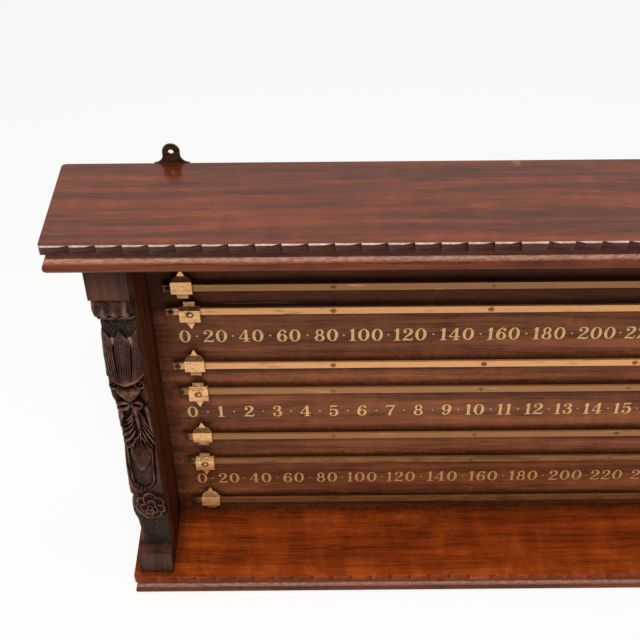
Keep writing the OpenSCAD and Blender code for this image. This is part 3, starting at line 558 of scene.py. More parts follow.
# %% Group: tarnish
def tarnish_group():
    """Patches, specks and fine lengthwise scratches, each from 0 to 1."""
    group, start, end = open_group(
        "tarnish",
        [
            ("Vector", "NodeSocketVector", None),
            ("Amount", "NodeSocketFloat", 0.5),
            ("Spots", "NodeSocketFloat", 0.5),
        ],
        [(s, "NodeSocketFloat") for s in ("Patches", "Specks", "Scratches")],
    )

    def shifted(noise, control, by):
        """Noise moved up or down by how far a control is from its middle."""
        off_middle = math_of(group, "SUBTRACT", start.outputs[control], 0.5)
        return math_of(group, "ADD", noise, math_of(group, "MULTIPLY", off_middle, by))

    here = start.outputs["Vector"]
    patch = shifted(stretched_noise(group, here, (24.0, 170.0, 170.0), 5.0, 0.62), "Amount", 0.5)
    speck = shifted(stretched_noise(group, here, (620.0, 620.0, 620.0), 4.0, 0.7), "Spots", 0.3)
    scratch = stretched_noise(group, here, (40.0, 2600.0, 2600.0), 3.0, 0.7)
    group.links.new(remap(group, patch, 0.42, 0.66), end.inputs["Patches"])
    group.links.new(remap(group, speck, 0.5, 0.62), end.inputs["Specks"])
    group.links.new(remap(group, scratch, 0.4, 0.72), end.inputs["Scratches"])
    return group


TARNISH = tarnish_group()
print("group:", TARNISH.name)

# %% [markdown]
# Clean metal has a coloured reflection and no diffuse colour, and tarnish is the opposite, so
# tarnish lowers the metallic value as well as changing the colour. The finishes differ in their
# colours, in how far tarnish has spread and in how much they shine, so one function makes all.

# %% Brass finishes
BRASS_REACH = 4 * MM
SPECK_DEPTH = 0.04 * MM
CORNER_DIRT = (0.03, 0.018, 0.01, 1)


def brass(name, clean, stain, amount, shift, rough=0.3, specks=0.5, metal=0.66):
    """Aged brass. Amount is how far tarnish has spread, from 0 to 1."""
    material, tree, shader, place = new_material(name)
    moved = put(tree, "ShaderNodeMapping", {"Vector": place, "Location": shift}).outputs[0]
    age = use_group(tree, TARNISH, {"Vector": moved, "Amount": amount, "Spots": specks}).outputs
    corner = use_group(tree, CORNER_SHADE_AND_DIRT, {"Vector": place, "Reach": BRASS_REACH}).outputs[0]
    dirt = math_of(tree, "MULTIPLY", corner, 0.75)
    colour = mix_colour(tree, age["Patches"], clean, stain)
    colour = mix_colour(tree, math_of(tree, "MULTIPLY", age["Specks"], 0.8), colour, toned(stain, 0.8))
    colour = mix_colour(tree, dirt, colour, CORNER_DIRT)
    tree.links.new(colour, shader.inputs["Base Color"])
    metal = math_of(tree, "SUBTRACT", metal, math_of(tree, "MULTIPLY", age["Patches"], 0.2))
    metal = math_of(tree, "SUBTRACT", metal, math_of(tree, "MULTIPLY", dirt, 0.5), clamp=True)
    tree.links.new(metal, shader.inputs["Metallic"])
    dull = math_of(tree, "MULTIPLY", age["Patches"], 0.2)
    dull = math_of(tree, "ADD", dull, math_of(tree, "MULTIPLY", age["Scratches"], 0.1))
    tree.links.new(math_of(tree, "ADD", dull, rough, clamp=True), shader.inputs["Roughness"])
    level = math_of(tree, "ADD", age["Specks"], math_of(tree, "MULTIPLY", age["Scratches"], 0.5))
    pits = {"Height": level, "Strength": 0.25, "Distance": SPECK_DEPTH}
    bump = put(tree, "ShaderNodeBump", pits, invert=True)
    tree.links.new(bump.outputs[0], shader.inputs["Normal"])
    return material


BRIGHT = (1.0, 0.555, 0.23, 1)
GOLDEN = (0.82, 0.40, 0.155, 1)
MELLOW = (0.42, 0.195, 0.070, 1)
BROWN = (0.20, 0.088, 0.030, 1)
IRON = (0.045, 0.024, 0.014, 1)
STEEL = (0.4, 0.38, 0.36, 1)
BRASS = {
    "rail": brass("rail brass", GOLDEN, MELLOW, 0.95, (0.1, 0.2, 0.3), specks=0.3),
    "bright rail": brass(
        "bright rail brass", GOLDEN, MELLOW, 0.3, (0.7, 0.1, 0.3), specks=0.3, metal=0.5
    ),
    "dark rail": brass(
        "dark rail brass", MELLOW, BROWN, 0.52, (0.3, 0.8, 0.3), rough=0.34, specks=0.35
    ),
    "button": brass(
        "button brass", BRIGHT, MELLOW, 0.2, (0.1, 0.9, 0.1), rough=0.2, specks=0.3, metal=0.8
    ),
    "rail screw": brass("rail screw brass", MELLOW, BROWN, 0.4, (0.8, 0.3, 0.3), specks=0.4),
    "screw": brass("screw brass", BROWN, IRON, 0.6, (0.6, 0.6, 0.3), rough=0.28, specks=0.4),
    "plate": brass("hanging plate brass", BROWN, IRON, 0.7, (0.2, 0.5, 0.9), rough=0.4),
    "steel": brass("steel", STEEL, IRON, 0.3, (0.4, 0.1, 0.7), specks=0.3),
}
print("brass finishes:", sorted(BRASS))

# %% [markdown]
# A rail screw is flush and small, and all that shows of its slot is a dark upright line, painted as
# the slot's shade and dirt. The screws stand at one pitch along every rail, so the distance to the
# nearest multiple of that pitch draws all the slots at once.

# %% Slots of the rail screws
FIRST_SCREW_X, SCREW_PITCH = -192.4 * MM, 183.6 * MM
SLOT_HALF, SLOT_CORE = 0.6 * MM, 0.35 * MM
SLOT_SHADE_AND_DIRT = (0.02, 0.012, 0.008, 1)


def slot_line(tree, place):
    """1 along the upright slot of each rail screw."""
    along_rail = math_of(tree, "SUBTRACT", place_parts(tree, place)["X"], FIRST_SCREW_X)
    turns = math_of(tree, "DIVIDE", along_rail, SCREW_PITCH)
    away = math_of(tree, "ABSOLUTE", math_of(tree, "SUBTRACT", turns, math_of(tree, "ROUND", turns)))
    return remap(tree, away, SLOT_HALF / SCREW_PITCH, SLOT_CORE / SCREW_PITCH)


# Painted shade and dirt along each rail screw's slot.
rub(BRASS["rail screw"], slot_line, SLOT_SHADE_AND_DIRT, 0.95)
print("slots every", round(1000 * SCREW_PITCH, 1), "mm")

# %% [markdown]
# ## Dressing the CAD pieces
# The turned, moulded and cut pieces of the CAD part already have their true shapes, so they are
# kept as they are. Each gets its finish and a narrow bevel, because an arris with no radius
# never catches the light the way a real one does.

# %% Finish and arris for each CAD node
ARRIS_TURN = math.radians(38)
ARRIS_SEGMENTS = 2


def dress(name, material, arris=0.0):
    """Gives a CAD node its material and, where it has sharp arrises, a small bevel."""
    piece = nodes[name]
    piece.data.materials.clear()
    piece.data.materials.append(material)
    if arris:
        bevel = piece.modifiers.new("arris", "BEVEL")
        bevel.width, bevel.segments = arris, ARRIS_SEGMENTS
        bevel.limit_method, bevel.angle_limit = "ANGLE", ARRIS_TURN
        bevel.harden_normals = True


FINISH = [
    (("back_panel",), WOOD["panel"], 0),
    (("side_board_left", "side_board_right"), WOOD["side"], 0.8 * MM),
    (("pilaster_left", "pilaster_right"), WOOD["block"], 0),
    (("capital_left", "capital_right"), WOOD["block"], 1.6 * MM),
    (("base_block_left", "base_block_right"), WOOD["block"], 1.6 * MM),
    (("top_board",), WOOD["top"], 0.8 * MM),
    (("shelf_board",), WOOD["shelf"], 0.4 * MM),
    (("cornice_core", "base_core"), WOOD["core"], 0.4 * MM),
    (("cornice_moulding_front", "base_moulding_front"), WOOD["front"], 0.3 * MM),
    (("cornice_moulding_left", "cornice_moulding_right"), WOOD["return"], 0.3 * MM),
    (("base_moulding_left", "base_moulding_right"), WOOD["return"], 0.3 * MM),
    (("top_plug", "cornice_dowels"), WOOD["plug"], 0),
    (("top_screw", "base_screws", "panel_screws"), BRASS["steel"], 0),
    (("rail_screws",), BRASS["rail screw"], 0),
    (("rail_ferrules", "stop_screws"), BRASS["screw"], 0),
    (("hanging_plate_left", "hanging_plate_right"), BRASS["plate"], 0.4 * MM),
    (("hanging_plate_screws",), BRASS["plate"], 0),
]
for names, finish, arris in FINISH:
    for name in names:
        dress(name, finish, arris)
print("dressed", sum(len(names) for names, _, _ in FINISH), "nodes of the case")

# %% [markdown]
# Fingers push a pointer by its face and tip, and these are bright. Its tab and its upward slopes
# are painted brown as shade and dark reflection, and the sunk ring round its button is painted dark
# as shade. Each pointer has its own finish, because the masks for those places come from that
# pointer's box in the CAD part. The two lowest are less metallic than the rest, because they hang
# close over the shelf and would otherwise mirror it as red.

# %% Pointers
TAB_FROM = 0.3
EDGE_BLUR = 0.1 * MM
DISH_R = 4.8 * MM
USUAL_METAL, LOW_METAL = 0.68, {7: 0.5, 8: 0.3}
POINTER_SHADE = (0.22, 0.10, 0.034, 1)
DISH_SHADE = (0.045, 0.022, 0.011, 1)


def unpolished(n):
    """Mask function: 1 on a pointer's tab and on its upward slopes, where shade is painted."""
    low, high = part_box(f"pointer_{n}")
    side = 1 if n % 2 else -1
    edge = (high.z + low.z) / 2 + side * TAB_FROM * (high.z - low.z)

    def where(tree, place):
        height, facing = place_parts(tree, place)["Z"], facing_parts(tree)
        tab = remap(tree, height, edge - side * EDGE_BLUR, edge + side * EDGE_BLUR)
        upward = remap(tree, facing["Z"], 0.2, 0.3)
        slope = math_of(tree, "MULTIPLY", upward, remap(tree, facing["Y"], -0.15, -0.25))
        return math_of(tree, "MAXIMUM", tab, slope)

    return where


def round_button(n):
    """Mask function: 1 in the sunk ring round a pointer's button, where shade is painted."""
    low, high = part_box(f"pointer_{n}_button")
    middle = ((low.x + high.x) / 2, 0, (low.z + high.z) / 2)

    def where(tree, place):
        flat = put(tree, "ShaderNodeVectorMath", {0: place, 1: (1, 0, 1)}, operation="MULTIPLY")
        ends = {0: flat.outputs[0], 1: middle}
        away = put(tree, "ShaderNodeVectorMath", ends, operation="DISTANCE").outputs["Value"]
        return remap(tree, away, DISH_R + EDGE_BLUR, DISH_R)

    return where


def pointer_brass(n):
    """One pointer's brass: bright where fingers push it, with brown painted shade on tab, slope and
    dish.
    """
    metal = LOW_METAL.get(n, USUAL_METAL)
    finish = brass(
        f"pointer {n} brass", BRIGHT, MELLOW, 0.3, (0.5, 0.4, 0.1), rough=0.22, specks=0.55, metal=metal
    )
    # Painted shade and dark reflection on the tab and upward slopes, and painted shade in the dish.
    rub(finish, unpolished(n), POINTER_SHADE, 0.9)
    if n % 2:
        rub(finish, round_button(n), DISH_SHADE, 0.97)
    return finish


for n in range(1, 9):
    dress(f"pointer_{n}", pointer_brass(n), 0.25 * MM)
    dress(f"pointer_{n}_spring", BRASS["screw"])
    if n % 2:
        dress(f"pointer_{n}_button", BRASS["button"])
print("pointers with a button:", [n for n in range(1, 9) if f"pointer_{n}_button" in nodes])

# %% [markdown]
# The rails have aged differently: two are still bright, and three have gone brown. Each rail is
# painted nearly black at its ends, past the place where a pointer rests.

# %% Rails
RAIL_FINISH = {1: "dark rail", 3: "bright rail", 4: "bright rail", 7: "dark rail", 8: "dark rail"}
DARK_FROM = -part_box("pointer_2")[0].x
END_FADE = 3 * MM
END_DARK = (0.045, 0.020, 0.009, 1)


def rail_end(tree, place):
    """1 on the rail ends past a resting pointer."""
    from_middle = math_of(tree, "ABSOLUTE", place_parts(tree, place)["X"])
    return remap(tree, from_middle, DARK_FROM, DARK_FROM + END_FADE)


for n in range(1, 9):
    dress(f"rail_{n}", BRASS[RAIL_FINISH.get(n, "rail")], 0.3 * MM)
# The rail ends past a resting pointer are painted nearly black.
for name in ("rail", "bright rail", "dark rail"):
    rub(BRASS[name], rail_end, END_DARK, 0.9)
print("dressed", sum(bool(o.data.materials) for o in nodes.values()), "of", len(nodes), "nodes")

# %% [markdown]
# ## Drawing with distances
# Both the gilt numbers and the carved pilasters are made of drawn strokes, ovals and leaves. For
# each shape a short function gives the distance to its edge, negative inside. Joining shapes is
# then just the smaller of two distances, and one drawing serves for a flat number and for relief.


# %% Distances to strokes, ovals and boxes
def curve_through(points, steps=7):
    """A smooth line through points given as x, y and half width."""
    p = np.array([points[0], *points, points[-1]], float)
    t = np.linspace(0, 1, steps, endpoint=False)[:, None]
    spans = [
        b + t * (c - a) / 2 + t**2 * (a - 2.5 * b + 2 * c - d / 2) + t**3 * (3 * b - 3 * c + d - a) / 2
        for a, b, c, d in zip(p, p[1:], p[2:], p[3:])
    ]
    return np.vstack([*spans, p[-1:]])


def from_stroke(x, y, points):
    """Distance to a smooth stroke through points of x, y and half width."""
    line = curve_through(points) if len(points) > 2 else np.array(points, float)
    gap = np.full(np.shape(x), 1e3)
    for (ax, ay, aw), (bx, by, bw) in zip(line, line[1:]):
        dx, dy = bx - ax, by - ay
        t = np.clip(((x - ax) * dx + (y - ay) * dy) / (dx * dx + dy * dy + 1e-12), 0, 1)
        gap = np.minimum(gap, np.hypot(x - ax - t * dx, y - ay - t * dy) - aw - t * (bw - aw))
    return gap


def from_oval(x, y, cx, cy, rx, ry):
    """Distance to an upright oval's edge."""
    near = np.hypot((x - cx) / rx, (y - cy) / ry)
    slope = np.hypot((x - cx) / rx**2, (y - cy) / ry**2)
    return near * (near - 1) / np.maximum(slope, 1e-9)


def from_box(x, y, left, right, low, high):
    """Distance to a box's edge."""
    return np.maximum(np.maximum(left - x, x - right), np.maximum(low - y, y - high))


def join(*gaps):
    """Distance to several shapes at once."""
    return np.minimum.reduce(gaps)


def ring(x, y, cx, cy, outer, inner):
    """An upright oval ring, thick at its sides and thin above and below."""
    return np.maximum(from_oval(x, y, cx, cy, *outer), -from_oval(x, y, cx, cy, *inner))


print("distance at the middle of a unit oval:", float(from_oval(0.0, 0.01, 0, 0, 1, 1).round(2)))

# %% [markdown]
# ## Gilt numbers
# The numbers are gilt, in a bold serif style with ball ends: thick uprights, thin joins, and a
# thin dark outline. A font file would tie the script to one machine, so each digit is drawn from
# a few strokes on a body one unit high, from 0 at its foot to 1 at its head. The four digits with
# a sweeping stroke come first.

# %% Curved digits
THIN = 0.032


def draw_six(x, y):
    """A bowl with a back that sweeps up to a ball."""
    back = [(-0.21, 0.3, 0.09), (-0.21, 0.52, 0.095), (-0.13, 0.8, 0.06), (0.02, 0.95, 0.036),
            (0.15, 0.95, THIN), (0.24, 0.86, 0.03)]
    bowl = ring(x, y, 0.01, 0.31, (0.31, 0.31), (0.125, 0.25))
    return join(bowl, from_stroke(x, y, back), from_oval(x, y, 0.19, 0.81, 0.09, 0.09))


def draw_two(x, y):
    """A hooked neck on a waving foot."""
    neck = [(-0.26, 0.74, THIN), (-0.2, 0.91, 0.034), (0.0, 0.965, 0.036), (0.17, 0.88, 0.075),
            (0.2, 0.71, 0.096), (0.1, 0.52, 0.075), (-0.1, 0.32, 0.045), (-0.28, 0.06, 0.03)]
    foot = [(-0.28, 0.05, 0.045), (-0.12, 0.09, 0.065), (0.08, 0.065, 0.065), (0.24, 0.07, 0.055),
            (0.3, 0.2, 0.022), (0.31, 0.28, 0.015)]
    ball = from_oval(x, y, -0.18, 0.73, 0.1, 0.1)
    return join(from_stroke(x, y, neck), from_stroke(x, y, foot), ball)


def draw_three(x, y):
    """Two bowls with a ball at each end."""
    upper = [(-0.24, 0.8, 0.03), (-0.16, 0.93, THIN), (0.0, 0.965, 0.036), (0.15, 0.88, 0.075),
             (0.16, 0.72, 0.085), (0.05, 0.58, 0.045), (-0.06, 0.545, 0.028)]
    lower = [(-0.06, 0.545, 0.028), (0.1, 0.51, 0.05), (0.21, 0.38, 0.09), (0.21, 0.2, 0.095),
             (0.1, 0.06, 0.055), (-0.04, 0.035, 0.034), (-0.2, 0.09, 0.03), (-0.26, 0.2, 0.03)]
    balls = join(from_oval(x, y, -0.18, 0.77, 0.09, 0.09), from_oval(x, y, -0.19, 0.24, 0.1, 0.1))
    return join(from_stroke(x, y, upper), from_stroke(x, y, lower), balls)


def draw_five(x, y):
    """A flag, a thin neck and a bowl with a ball."""
    flag = [(-0.2, 0.94, 0.05), (-0.02, 0.93, 0.065), (0.14, 0.93, 0.055), (0.22, 0.98, 0.02)]
    bowl = [(-0.22, 0.52, 0.025), (-0.08, 0.61, 0.036), (0.08, 0.6, 0.06), (0.2, 0.46, 0.09),
            (0.21, 0.26, 0.098), (0.12, 0.08, 0.06), (-0.02, 0.035, 0.034), (-0.18, 0.08, 0.03),
            (-0.26, 0.17, 0.03)]
    neck = from_stroke(x, y, [(-0.19, 0.94, 0.03), (-0.22, 0.5, 0.025)])
    ball = from_oval(x, y, -0.19, 0.23, 0.095, 0.095)
    return join(from_stroke(x, y, flag), neck, from_stroke(x, y, bowl), ball)


print("the six at the middle of its ball:", round(float(draw_six(0.19, 0.81)), 2))

# %% [markdown]
# The others are built from boxes, ovals and single strokes. Nine is six turned upside down.
# Each digit comes with its half width, which spaces it in a number.


# %% Ten digits
def draw_digit(digit, x, y):
    """Distance to one digit's edge, and the digit's half width."""
    if digit == 0:
        return ring(x, y, 0, 0.5, (0.345, 0.5), (0.155, 0.44)), 0.345
    if digit == 1:
        flag = from_stroke(x, y, [(-0.17, 0.8, 0.028), (-0.07, 0.88, 0.04), (0.02, 0.96, 0.03)])
        foot = from_box(x, y, -0.2, 0.22, 0, 0.06)
        return join(from_box(x, y, -0.08, 0.1, 0.02, 1), flag, foot), 0.2
    if digit == 2:
        return draw_two(x, y), 0.31
    if digit == 3:
        return draw_three(x, y), 0.3
    if digit == 4:
        slope = from_stroke(x, y, [(0.08, 0.97, THIN), (-0.31, 0.3, THIN)])
        stem, foot = from_box(x, y, 0.02, 0.2, 0, 1), from_box(x, y, -0.1, 0.32, 0, 0.06)
        return join(slope, stem, foot, from_box(x, y, -0.345, 0.345, 0.24, 0.31)), 0.345
    if digit == 5:
        return draw_five(x, y), 0.3
    if digit == 6:
        return draw_six(x, y), 0.31
    if digit == 7:
        bar = [(-0.27, 0.9, 0.03), (-0.14, 0.93, 0.07), (0.06, 0.9, 0.07), (0.28, 0.95, 0.035)]
        leg = [(0.28, 0.93, THIN), (0.15, 0.66, 0.045), (0.03, 0.38, 0.075), (-0.03, 0.1, 0.1)]
        serif = from_stroke(x, y, [(-0.28, 0.7, 0.015), (-0.26, 0.92, 0.035)])
        return join(from_stroke(x, y, bar), from_stroke(x, y, leg), serif), 0.3
    if digit == 8:
        upper = ring(x, y, 0, 0.74, (0.245, 0.26), (0.105, 0.195))
        return join(upper, ring(x, y, 0, 0.27, (0.305, 0.27), (0.14, 0.205))), 0.305
    return draw_six(-x, 1 - y), 0.31


print("half widths:", [draw_digit(d, 0.0, 0.5)[1] for d in range(10)])

# %% [markdown]
# A drawn distance becomes a mesh by walking over a fine grid: each cell keeps the part of itself
# that lies inside, cut where the distance passes zero. Flat neighbours are then merged, and the
# sheet is pulled out to the thickness of a paint film, so every number is a closed solid.


# %% From a distance to a solid film
CELL = 0.022


def fill_inside(mesh, xs, ys, gap):
    """Adds the part of each grid cell where gap is negative."""
    made = {}

    def corner(i, j, k, m):
        """The grid corner i, j, or the crossing between it and its neighbour k, m."""
        key = (min((i, j), (k, m)), max((i, j), (k, m)))
        if key not in made:
            a, b = gap[i, j], gap[k, m]
            t = 0 if (i, j) == (k, m) else a / (a - b)
            made[key] = mesh.verts.new((xs[i] + t * (xs[k] - xs[i]), 0, ys[j] + t * (ys[m] - ys[j])))
        return made[key]

    for i in range(len(xs) - 1):
        for j in range(len(ys) - 1):
            around = [(i, j), (i + 1, j), (i + 1, j + 1), (i, j + 1)]
            face = []
            for here, after in zip(around, around[1:] + around[:1]):
                if gap[here] < 0:
                    face.append(corner(*here, *here))
                if (gap[here] < 0) != (gap[after] < 0):
                    face.append(corner(*here, *after))
            if len(face) > 2:
                mesh.faces.new(face)


def film(draw, field, thick):
    """Corners and faces of a flat solid where draw(x, y) is negative. Corners are x, depth, y."""
    half_w, low, high = field
    xs = np.arange(-half_w, half_w + CELL, CELL)
    ys = np.arange(low, high + CELL, CELL)
    mesh = bmesh.new()
    fill_inside(mesh, xs, ys, draw(*np.meshgrid(xs, ys, indexing="ij")))
    bmesh.ops.dissolve_limit(mesh, angle_limit=0.03, verts=mesh.verts[:], edges=mesh.edges[:])
    pulled = bmesh.ops.extrude_face_region(mesh, geom=mesh.faces[:])["geom"]
    moved = [v for v in pulled if isinstance(v, bmesh.types.BMVert)]
    bmesh.ops.translate(mesh, vec=(0, thick, 0), verts=moved)
    bmesh.ops.recalc_face_normals(mesh, faces=mesh.faces[:])
    mesh.verts.index_update()
    corners = np.array([v.co[:] for v in mesh.verts])
    faces = [[v.index for v in f.verts] for f in mesh.faces]
    mesh.free()
    return corners, faces


print("cells across a digit's height:", round(1 / CELL))

# %% [markdown]
# The gilt lies over a slightly larger dark shape, which shows as an outline. Both films reach a
# little way into the panel, so that no light gets behind them. Every sign is drawn once and then
# copied to wherever a number needs it.

# %% Eleven signs in gilt and in dark
DIGIT_H = 19.5 * MM
OUTLINE = 0.036
FILM_FOOT = 0.05 * MM
GILT_T = 0.14 * MM
INK_T = 0.07 * MM
DOT_R = 0.062
GILT_FIELD, INK_FIELD = (0.42, -0.06, 1.06), (0.46, -0.1, 1.1)


def draw_dot(x, y):
    """The small round stop between two numbers."""
    return np.hypot(x, y - 0.5) - DOT_R


def grown(draw, by):
    """The same drawing with its edge moved outward."""
    return lambda x, y: draw(x, y) - by


SIGNS = {}
for sign in (*range(10), "dot"):
    shape = draw_dot if sign == "dot" else (lambda x, y, d=sign: draw_digit(d, x, y)[0])
    SIGNS[sign] = (
        film(shape, GILT_FIELD, (GILT_T + FILM_FOOT) / DIGIT_H),
        film(grown(shape, OUTLINE), INK_FIELD, (INK_T + FILM_FOOT) / DIGIT_H),
    )
print("faces in each sign:", [len(SIGNS[s][0][1]) for s in SIGNS])

# %% [markdown]
# Two kinds of row alternate: single points from 0 to 20, and twenties up to 280. The spacing is
# the photograph's: numbers of one digit stand closer than numbers of three, and a dot fills the
# middle of each gap. Past the photograph's right edge the last spacing goes on.

# %% Places of the numbers
LETTER_GAP = 0.14
HUNDREDS_PITCH, ONES_PITCH, TENS_PITCH = 55.77, 36.01, 37.72
ZERO_X, TEN_X = -371.5, -11.4
TWENTIES_X = [-369.6, -333.5, -290.7, -245.6, -200.5, -153.0, -100.2, -44.2, 11.4, 66.0, 123.0]
TWENTIES_X += [TWENTIES_X[-1] + HUNDREDS_PITCH * k for k in (1, 2, 3, 4)]
UNITS_X = [ZERO_X + ONES_PITCH * n for n in range(11)]
UNITS_X += [TEN_X + TENS_PITCH * n for n in range(1, 11)]


def signs_of(number, centre):
    """Each digit of a number with its place, and the number's left and right ends."""
    digits = [int(d) for d in str(number)]
    widths = [2 * draw_digit(d, 0.0, 0.5)[1] * DIGIT_H for d in digits]
    gap = LETTER_GAP * DIGIT_H
    left = centre - (sum(widths) + gap * (len(digits) - 1)) / 2
    place, placed = left, []
    for digit, width in zip(digits, widths):
        placed.append((digit, place + width / 2))
        place += width + gap
    return placed, left, place - gap


def place_signs(numbers, centres):
    """Every digit of a row, and a dot between each two numbers, with their places along it."""
    placed, right = [], None
    for number, centre in zip(numbers, centres):
        digits, left, end = signs_of(number, centre * MM)
        if right is not None:
            placed.append(("dot", (left + right) / 2))
        placed += digits
        right = end
    return placed


print("signs in a row of twenties:", len(place_signs(range(0, 281, 20), TWENTIES_X)))

# %% [markdown]
# Handling has rubbed the gilt thin, so that brown ground shows through in small patches. Where it
# is lost the paint is no longer metallic. The dark outline is plain paint.

# %% Gilt and dark paint
GILT_CLEAN, GILT_AGED = (0.82, 0.47, 0.17, 1), (0.54, 0.28, 0.09, 1)
GROUND_BROWN = (0.2, 0.085, 0.03, 1)
INK_BLACK, INK_BROWN = (0.014, 0.007, 0.005, 1), (0.06, 0.02, 0.01, 1)


def gilt_material():
    """Gilt paint, rubbed thin in places so that the brown ground shows."""
    material, tree, shader, place = new_material("gilt numbers")
    age = use_group(tree, TARNISH, {"Vector": place, "Amount": 0.35}).outputs
    rubbed = stretched_noise(tree, place, (260.0,) * 3, 4.0, 0.7)
    aged = math_of(tree, "MULTIPLY", age["Patches"], 0.6)
    lost = math_of(tree, "MULTIPLY", remap(tree, rubbed, 0.56, 0.68), 0.8)
    colour = mix_colour(tree, lost, mix_colour(tree, aged, GILT_CLEAN, GILT_AGED), GROUND_BROWN)
    tree.links.new(colour, shader.inputs["Base Color"])
    tree.links.new(remap(tree, lost, 0.0, 0.6, 0.45, 0.0), shader.inputs["Metallic"])
    shader.inputs["Roughness"].default_value = 0.42
    return material


def ink_material():
    """The dark line around each number."""
    material, tree, shader, place = new_material("dark outline")
    rubbed = stretched_noise(tree, place, (300.0,) * 3, 3.0, 0.6)
    colour = mix_colour(tree, remap(tree, rubbed, 0.5, 0.7), INK_BLACK, INK_BROWN)
    tree.links.new(colour, shader.inputs["Base Color"])
    shader.inputs["Roughness"].default_value = 0.35
    return material


GILT, INK = gilt_material(), ink_material()
print("paints:", GILT.name, "and", INK.name)

# %% [markdown]
# Each row becomes one gilt mesh and one dark mesh under it, and both ride on the case.


# %% Rows of numbers
def number_row(name, placed, height, layer):
    """One layer of a row of numbers and dots as a single mesh."""
    thick, material = (GILT_T, GILT) if layer == 0 else (INK_T, INK)
    corners, faces, start = [], [], 0
    for sign, x in placed:
        points, polygons = SIGNS[sign][layer]
        corners.append(points * DIGIT_H + (x, PANEL_Y - thick, height - DIGIT_H / 2))
        faces += [[start + k for k in polygon] for polygon in polygons]
        start += len(points)
    mesh = bpy.data.meshes.new(name)
    mesh.from_pydata(np.vstack(corners).tolist(), [], faces)
    mesh.materials.append(material)
    row = bpy.data.objects.new(name, mesh)
    bpy.context.scene.collection.objects.link(row)
    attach(row, "case")
    return row


ROWS = (place_signs(range(21), UNITS_X), place_signs(range(0, 281, 20), TWENTIES_X))
for k, height in enumerate(ROW_Z):
    number_row(f"numbers_{k + 1}", ROWS[k % 2], height, 0)
    number_row(f"number_outlines_{k + 1}", ROWS[k % 2], height, 1)
print("number rows:", len(ROW_Z))

# %% [markdown]
# ## Carved pilasters
# A carver works a pilaster from one face, so its whole relief is one height for each point of
# that face. The functions below give that height in millimetres in front of the case, from the
# distance across, counted outward from the middle, and the height above the shelf. The CAD part
# holds the same forms as plain solids, at the same heights, and these pieces stand in for them.

# %% Places on the pilaster, in millimetres
PIL_INNER, GROUND, RELIEF = -18.25, 7.5, 14.5
PIL_FOOT, PIL_HEAD = 40.0, 476.0
MOULD_FOOT, LIP_MID, BAND_HEAD, LEAF_TIPS = 446.0, 443.0, 440.0, 424.0
RIM_FOOT, BUD_FOOT, BOW_MID = 341.5, 311.0, 305.5
STEM_HEAD, STEM_FOOT = 301.0, 229.0
SHIELD_HEAD, SHIELD_MID, SHIELD_FOOT = 228.0, 178.0, 155.5
ROSE_MID, ROSE_ACROSS, ROSE_UP = 125.5, 21.6, 28.5
SIDE_LINE = [
    (40, 19), (64, 19), (89, 20.4), (98, 23), (106, 24.4), (115, 24.6), (122, 24.2), (130, 23.3),
    (138, 21.6), (146, 22.4), (153, 22.8), (162, 23), (176, 22.3), (199, 21.8), (221, 20.6),
    (235, 20), (297, 20), (304, 21.8), (311, 22.4), (317, 23.9), (330, 24.4), (343, 24.2),
    (349, 24.6), (380, 24.5), (393, 23.8), (405, 22.8), (416, 22), (424, 20.4), (438, 20.4),
    (440, 21.4), (445, 21.8), (447, 22.4), (452, 23.4), (460, 24.1), (470, 23.6), (476, 23),
]
MID_LINE = [
    (40, 1), (129, 0), (160, 3), (200, 2), (235, 0), (301, 0), (308, 3), (341, 3.7), (372, 2.4),
    (405, 0.6), (424, 1), (476, 1.6),
]
CENTRE_LEAF = [(341, 7.2), (380, 9.6), (400, 10), (407, 8.4), (414, 5.8), (420, 2.8), (424, 0)]
SIDE_LEAF = [
    (341, 7.2), (380, 9.7), (400, 10.2), (405, 10.9), (412, 12), (418, 14), (422, 17), (424, 22),
]


def along(z, points):
    """A measure that changes along the height, read from pairs of height and value."""
    heights, values = zip(*points)
    return np.interp(z, heights, values)


print("pilaster width in mm, at its foot:", round(float(along(40, SIDE_LINE)) - PIL_INNER, 1))

# %% [markdown]
# Three cuts make all the forms: a pillow that rises over a soft shoulder, a groove along a line,
# and the small round punches with which a carver roughens a ground so that it looks dark.


# %% Pillow, groove and punches
def ease(low, high, value):
    """0 below low, 1 above high, smooth between."""
    t = np.clip((value - low) / (high - low), 0, 1)
    return t * t * (3 - 2 * t)


def pillow(gap, height, shoulder):
    """A raised form that climbs to its height over a shoulder inside its edge."""
    t = np.clip(-gap / shoulder, 0, 1)
    return height * np.sqrt(1 - (1 - t) ** 2)


def groove(gap, deep, half):
    """A cut along the line where gap is zero."""
    return deep * (1 - ease(0, half, np.abs(gap)))


def punches(u, z, pitch=2.9, size=1.35):
    """Close-set round punch marks, 1 at the middle of each."""
    jitter = np.random.default_rng(5).uniform(-0.36, 0.36, (64, 512, 2))
    column, row = np.floor(u / pitch).astype(int), np.floor(z / pitch).astype(int)
    nearest = np.full(np.shape(u), 1e3)
    for i in (-1, 0, 1):
        for j in (-1, 0, 1):
            a, b = column + i, row + j
            off = jitter[a % 64, b % 512]
            away = np.hypot(u - (a + 0.5 + off[..., 0]) * pitch, z - (b + 0.5 + off[..., 1]) * pitch)
            nearest = np.minimum(nearest, away)
    return 1 - ease(0.25, size, nearest)


def tooling(u, z, pitch):
    """The unevenness that a gouge leaves, from -1 to 1."""
    table = np.random.default_rng(9).uniform(-1, 1, (64, 512))
    a, b = u / pitch + 40, z / (1.4 * pitch)
    i, j = np.floor(a).astype(int), np.floor(b).astype(int)
    s, t = ease(0, 1, a - i), ease(0, 1, b - j)
    left = table[i % 64, j % 512] * (1 - t) + table[i % 64, (j + 1) % 512] * t
    right = table[(i + 1) % 64, j % 512] * (1 - t) + table[(i + 1) % 64, (j + 1) % 512] * t
    return left * (1 - s) + right * s


print("punch marks:", float(punches(np.linspace(-9, 9, 300), np.full(300, 50.0)).mean().round(2)))

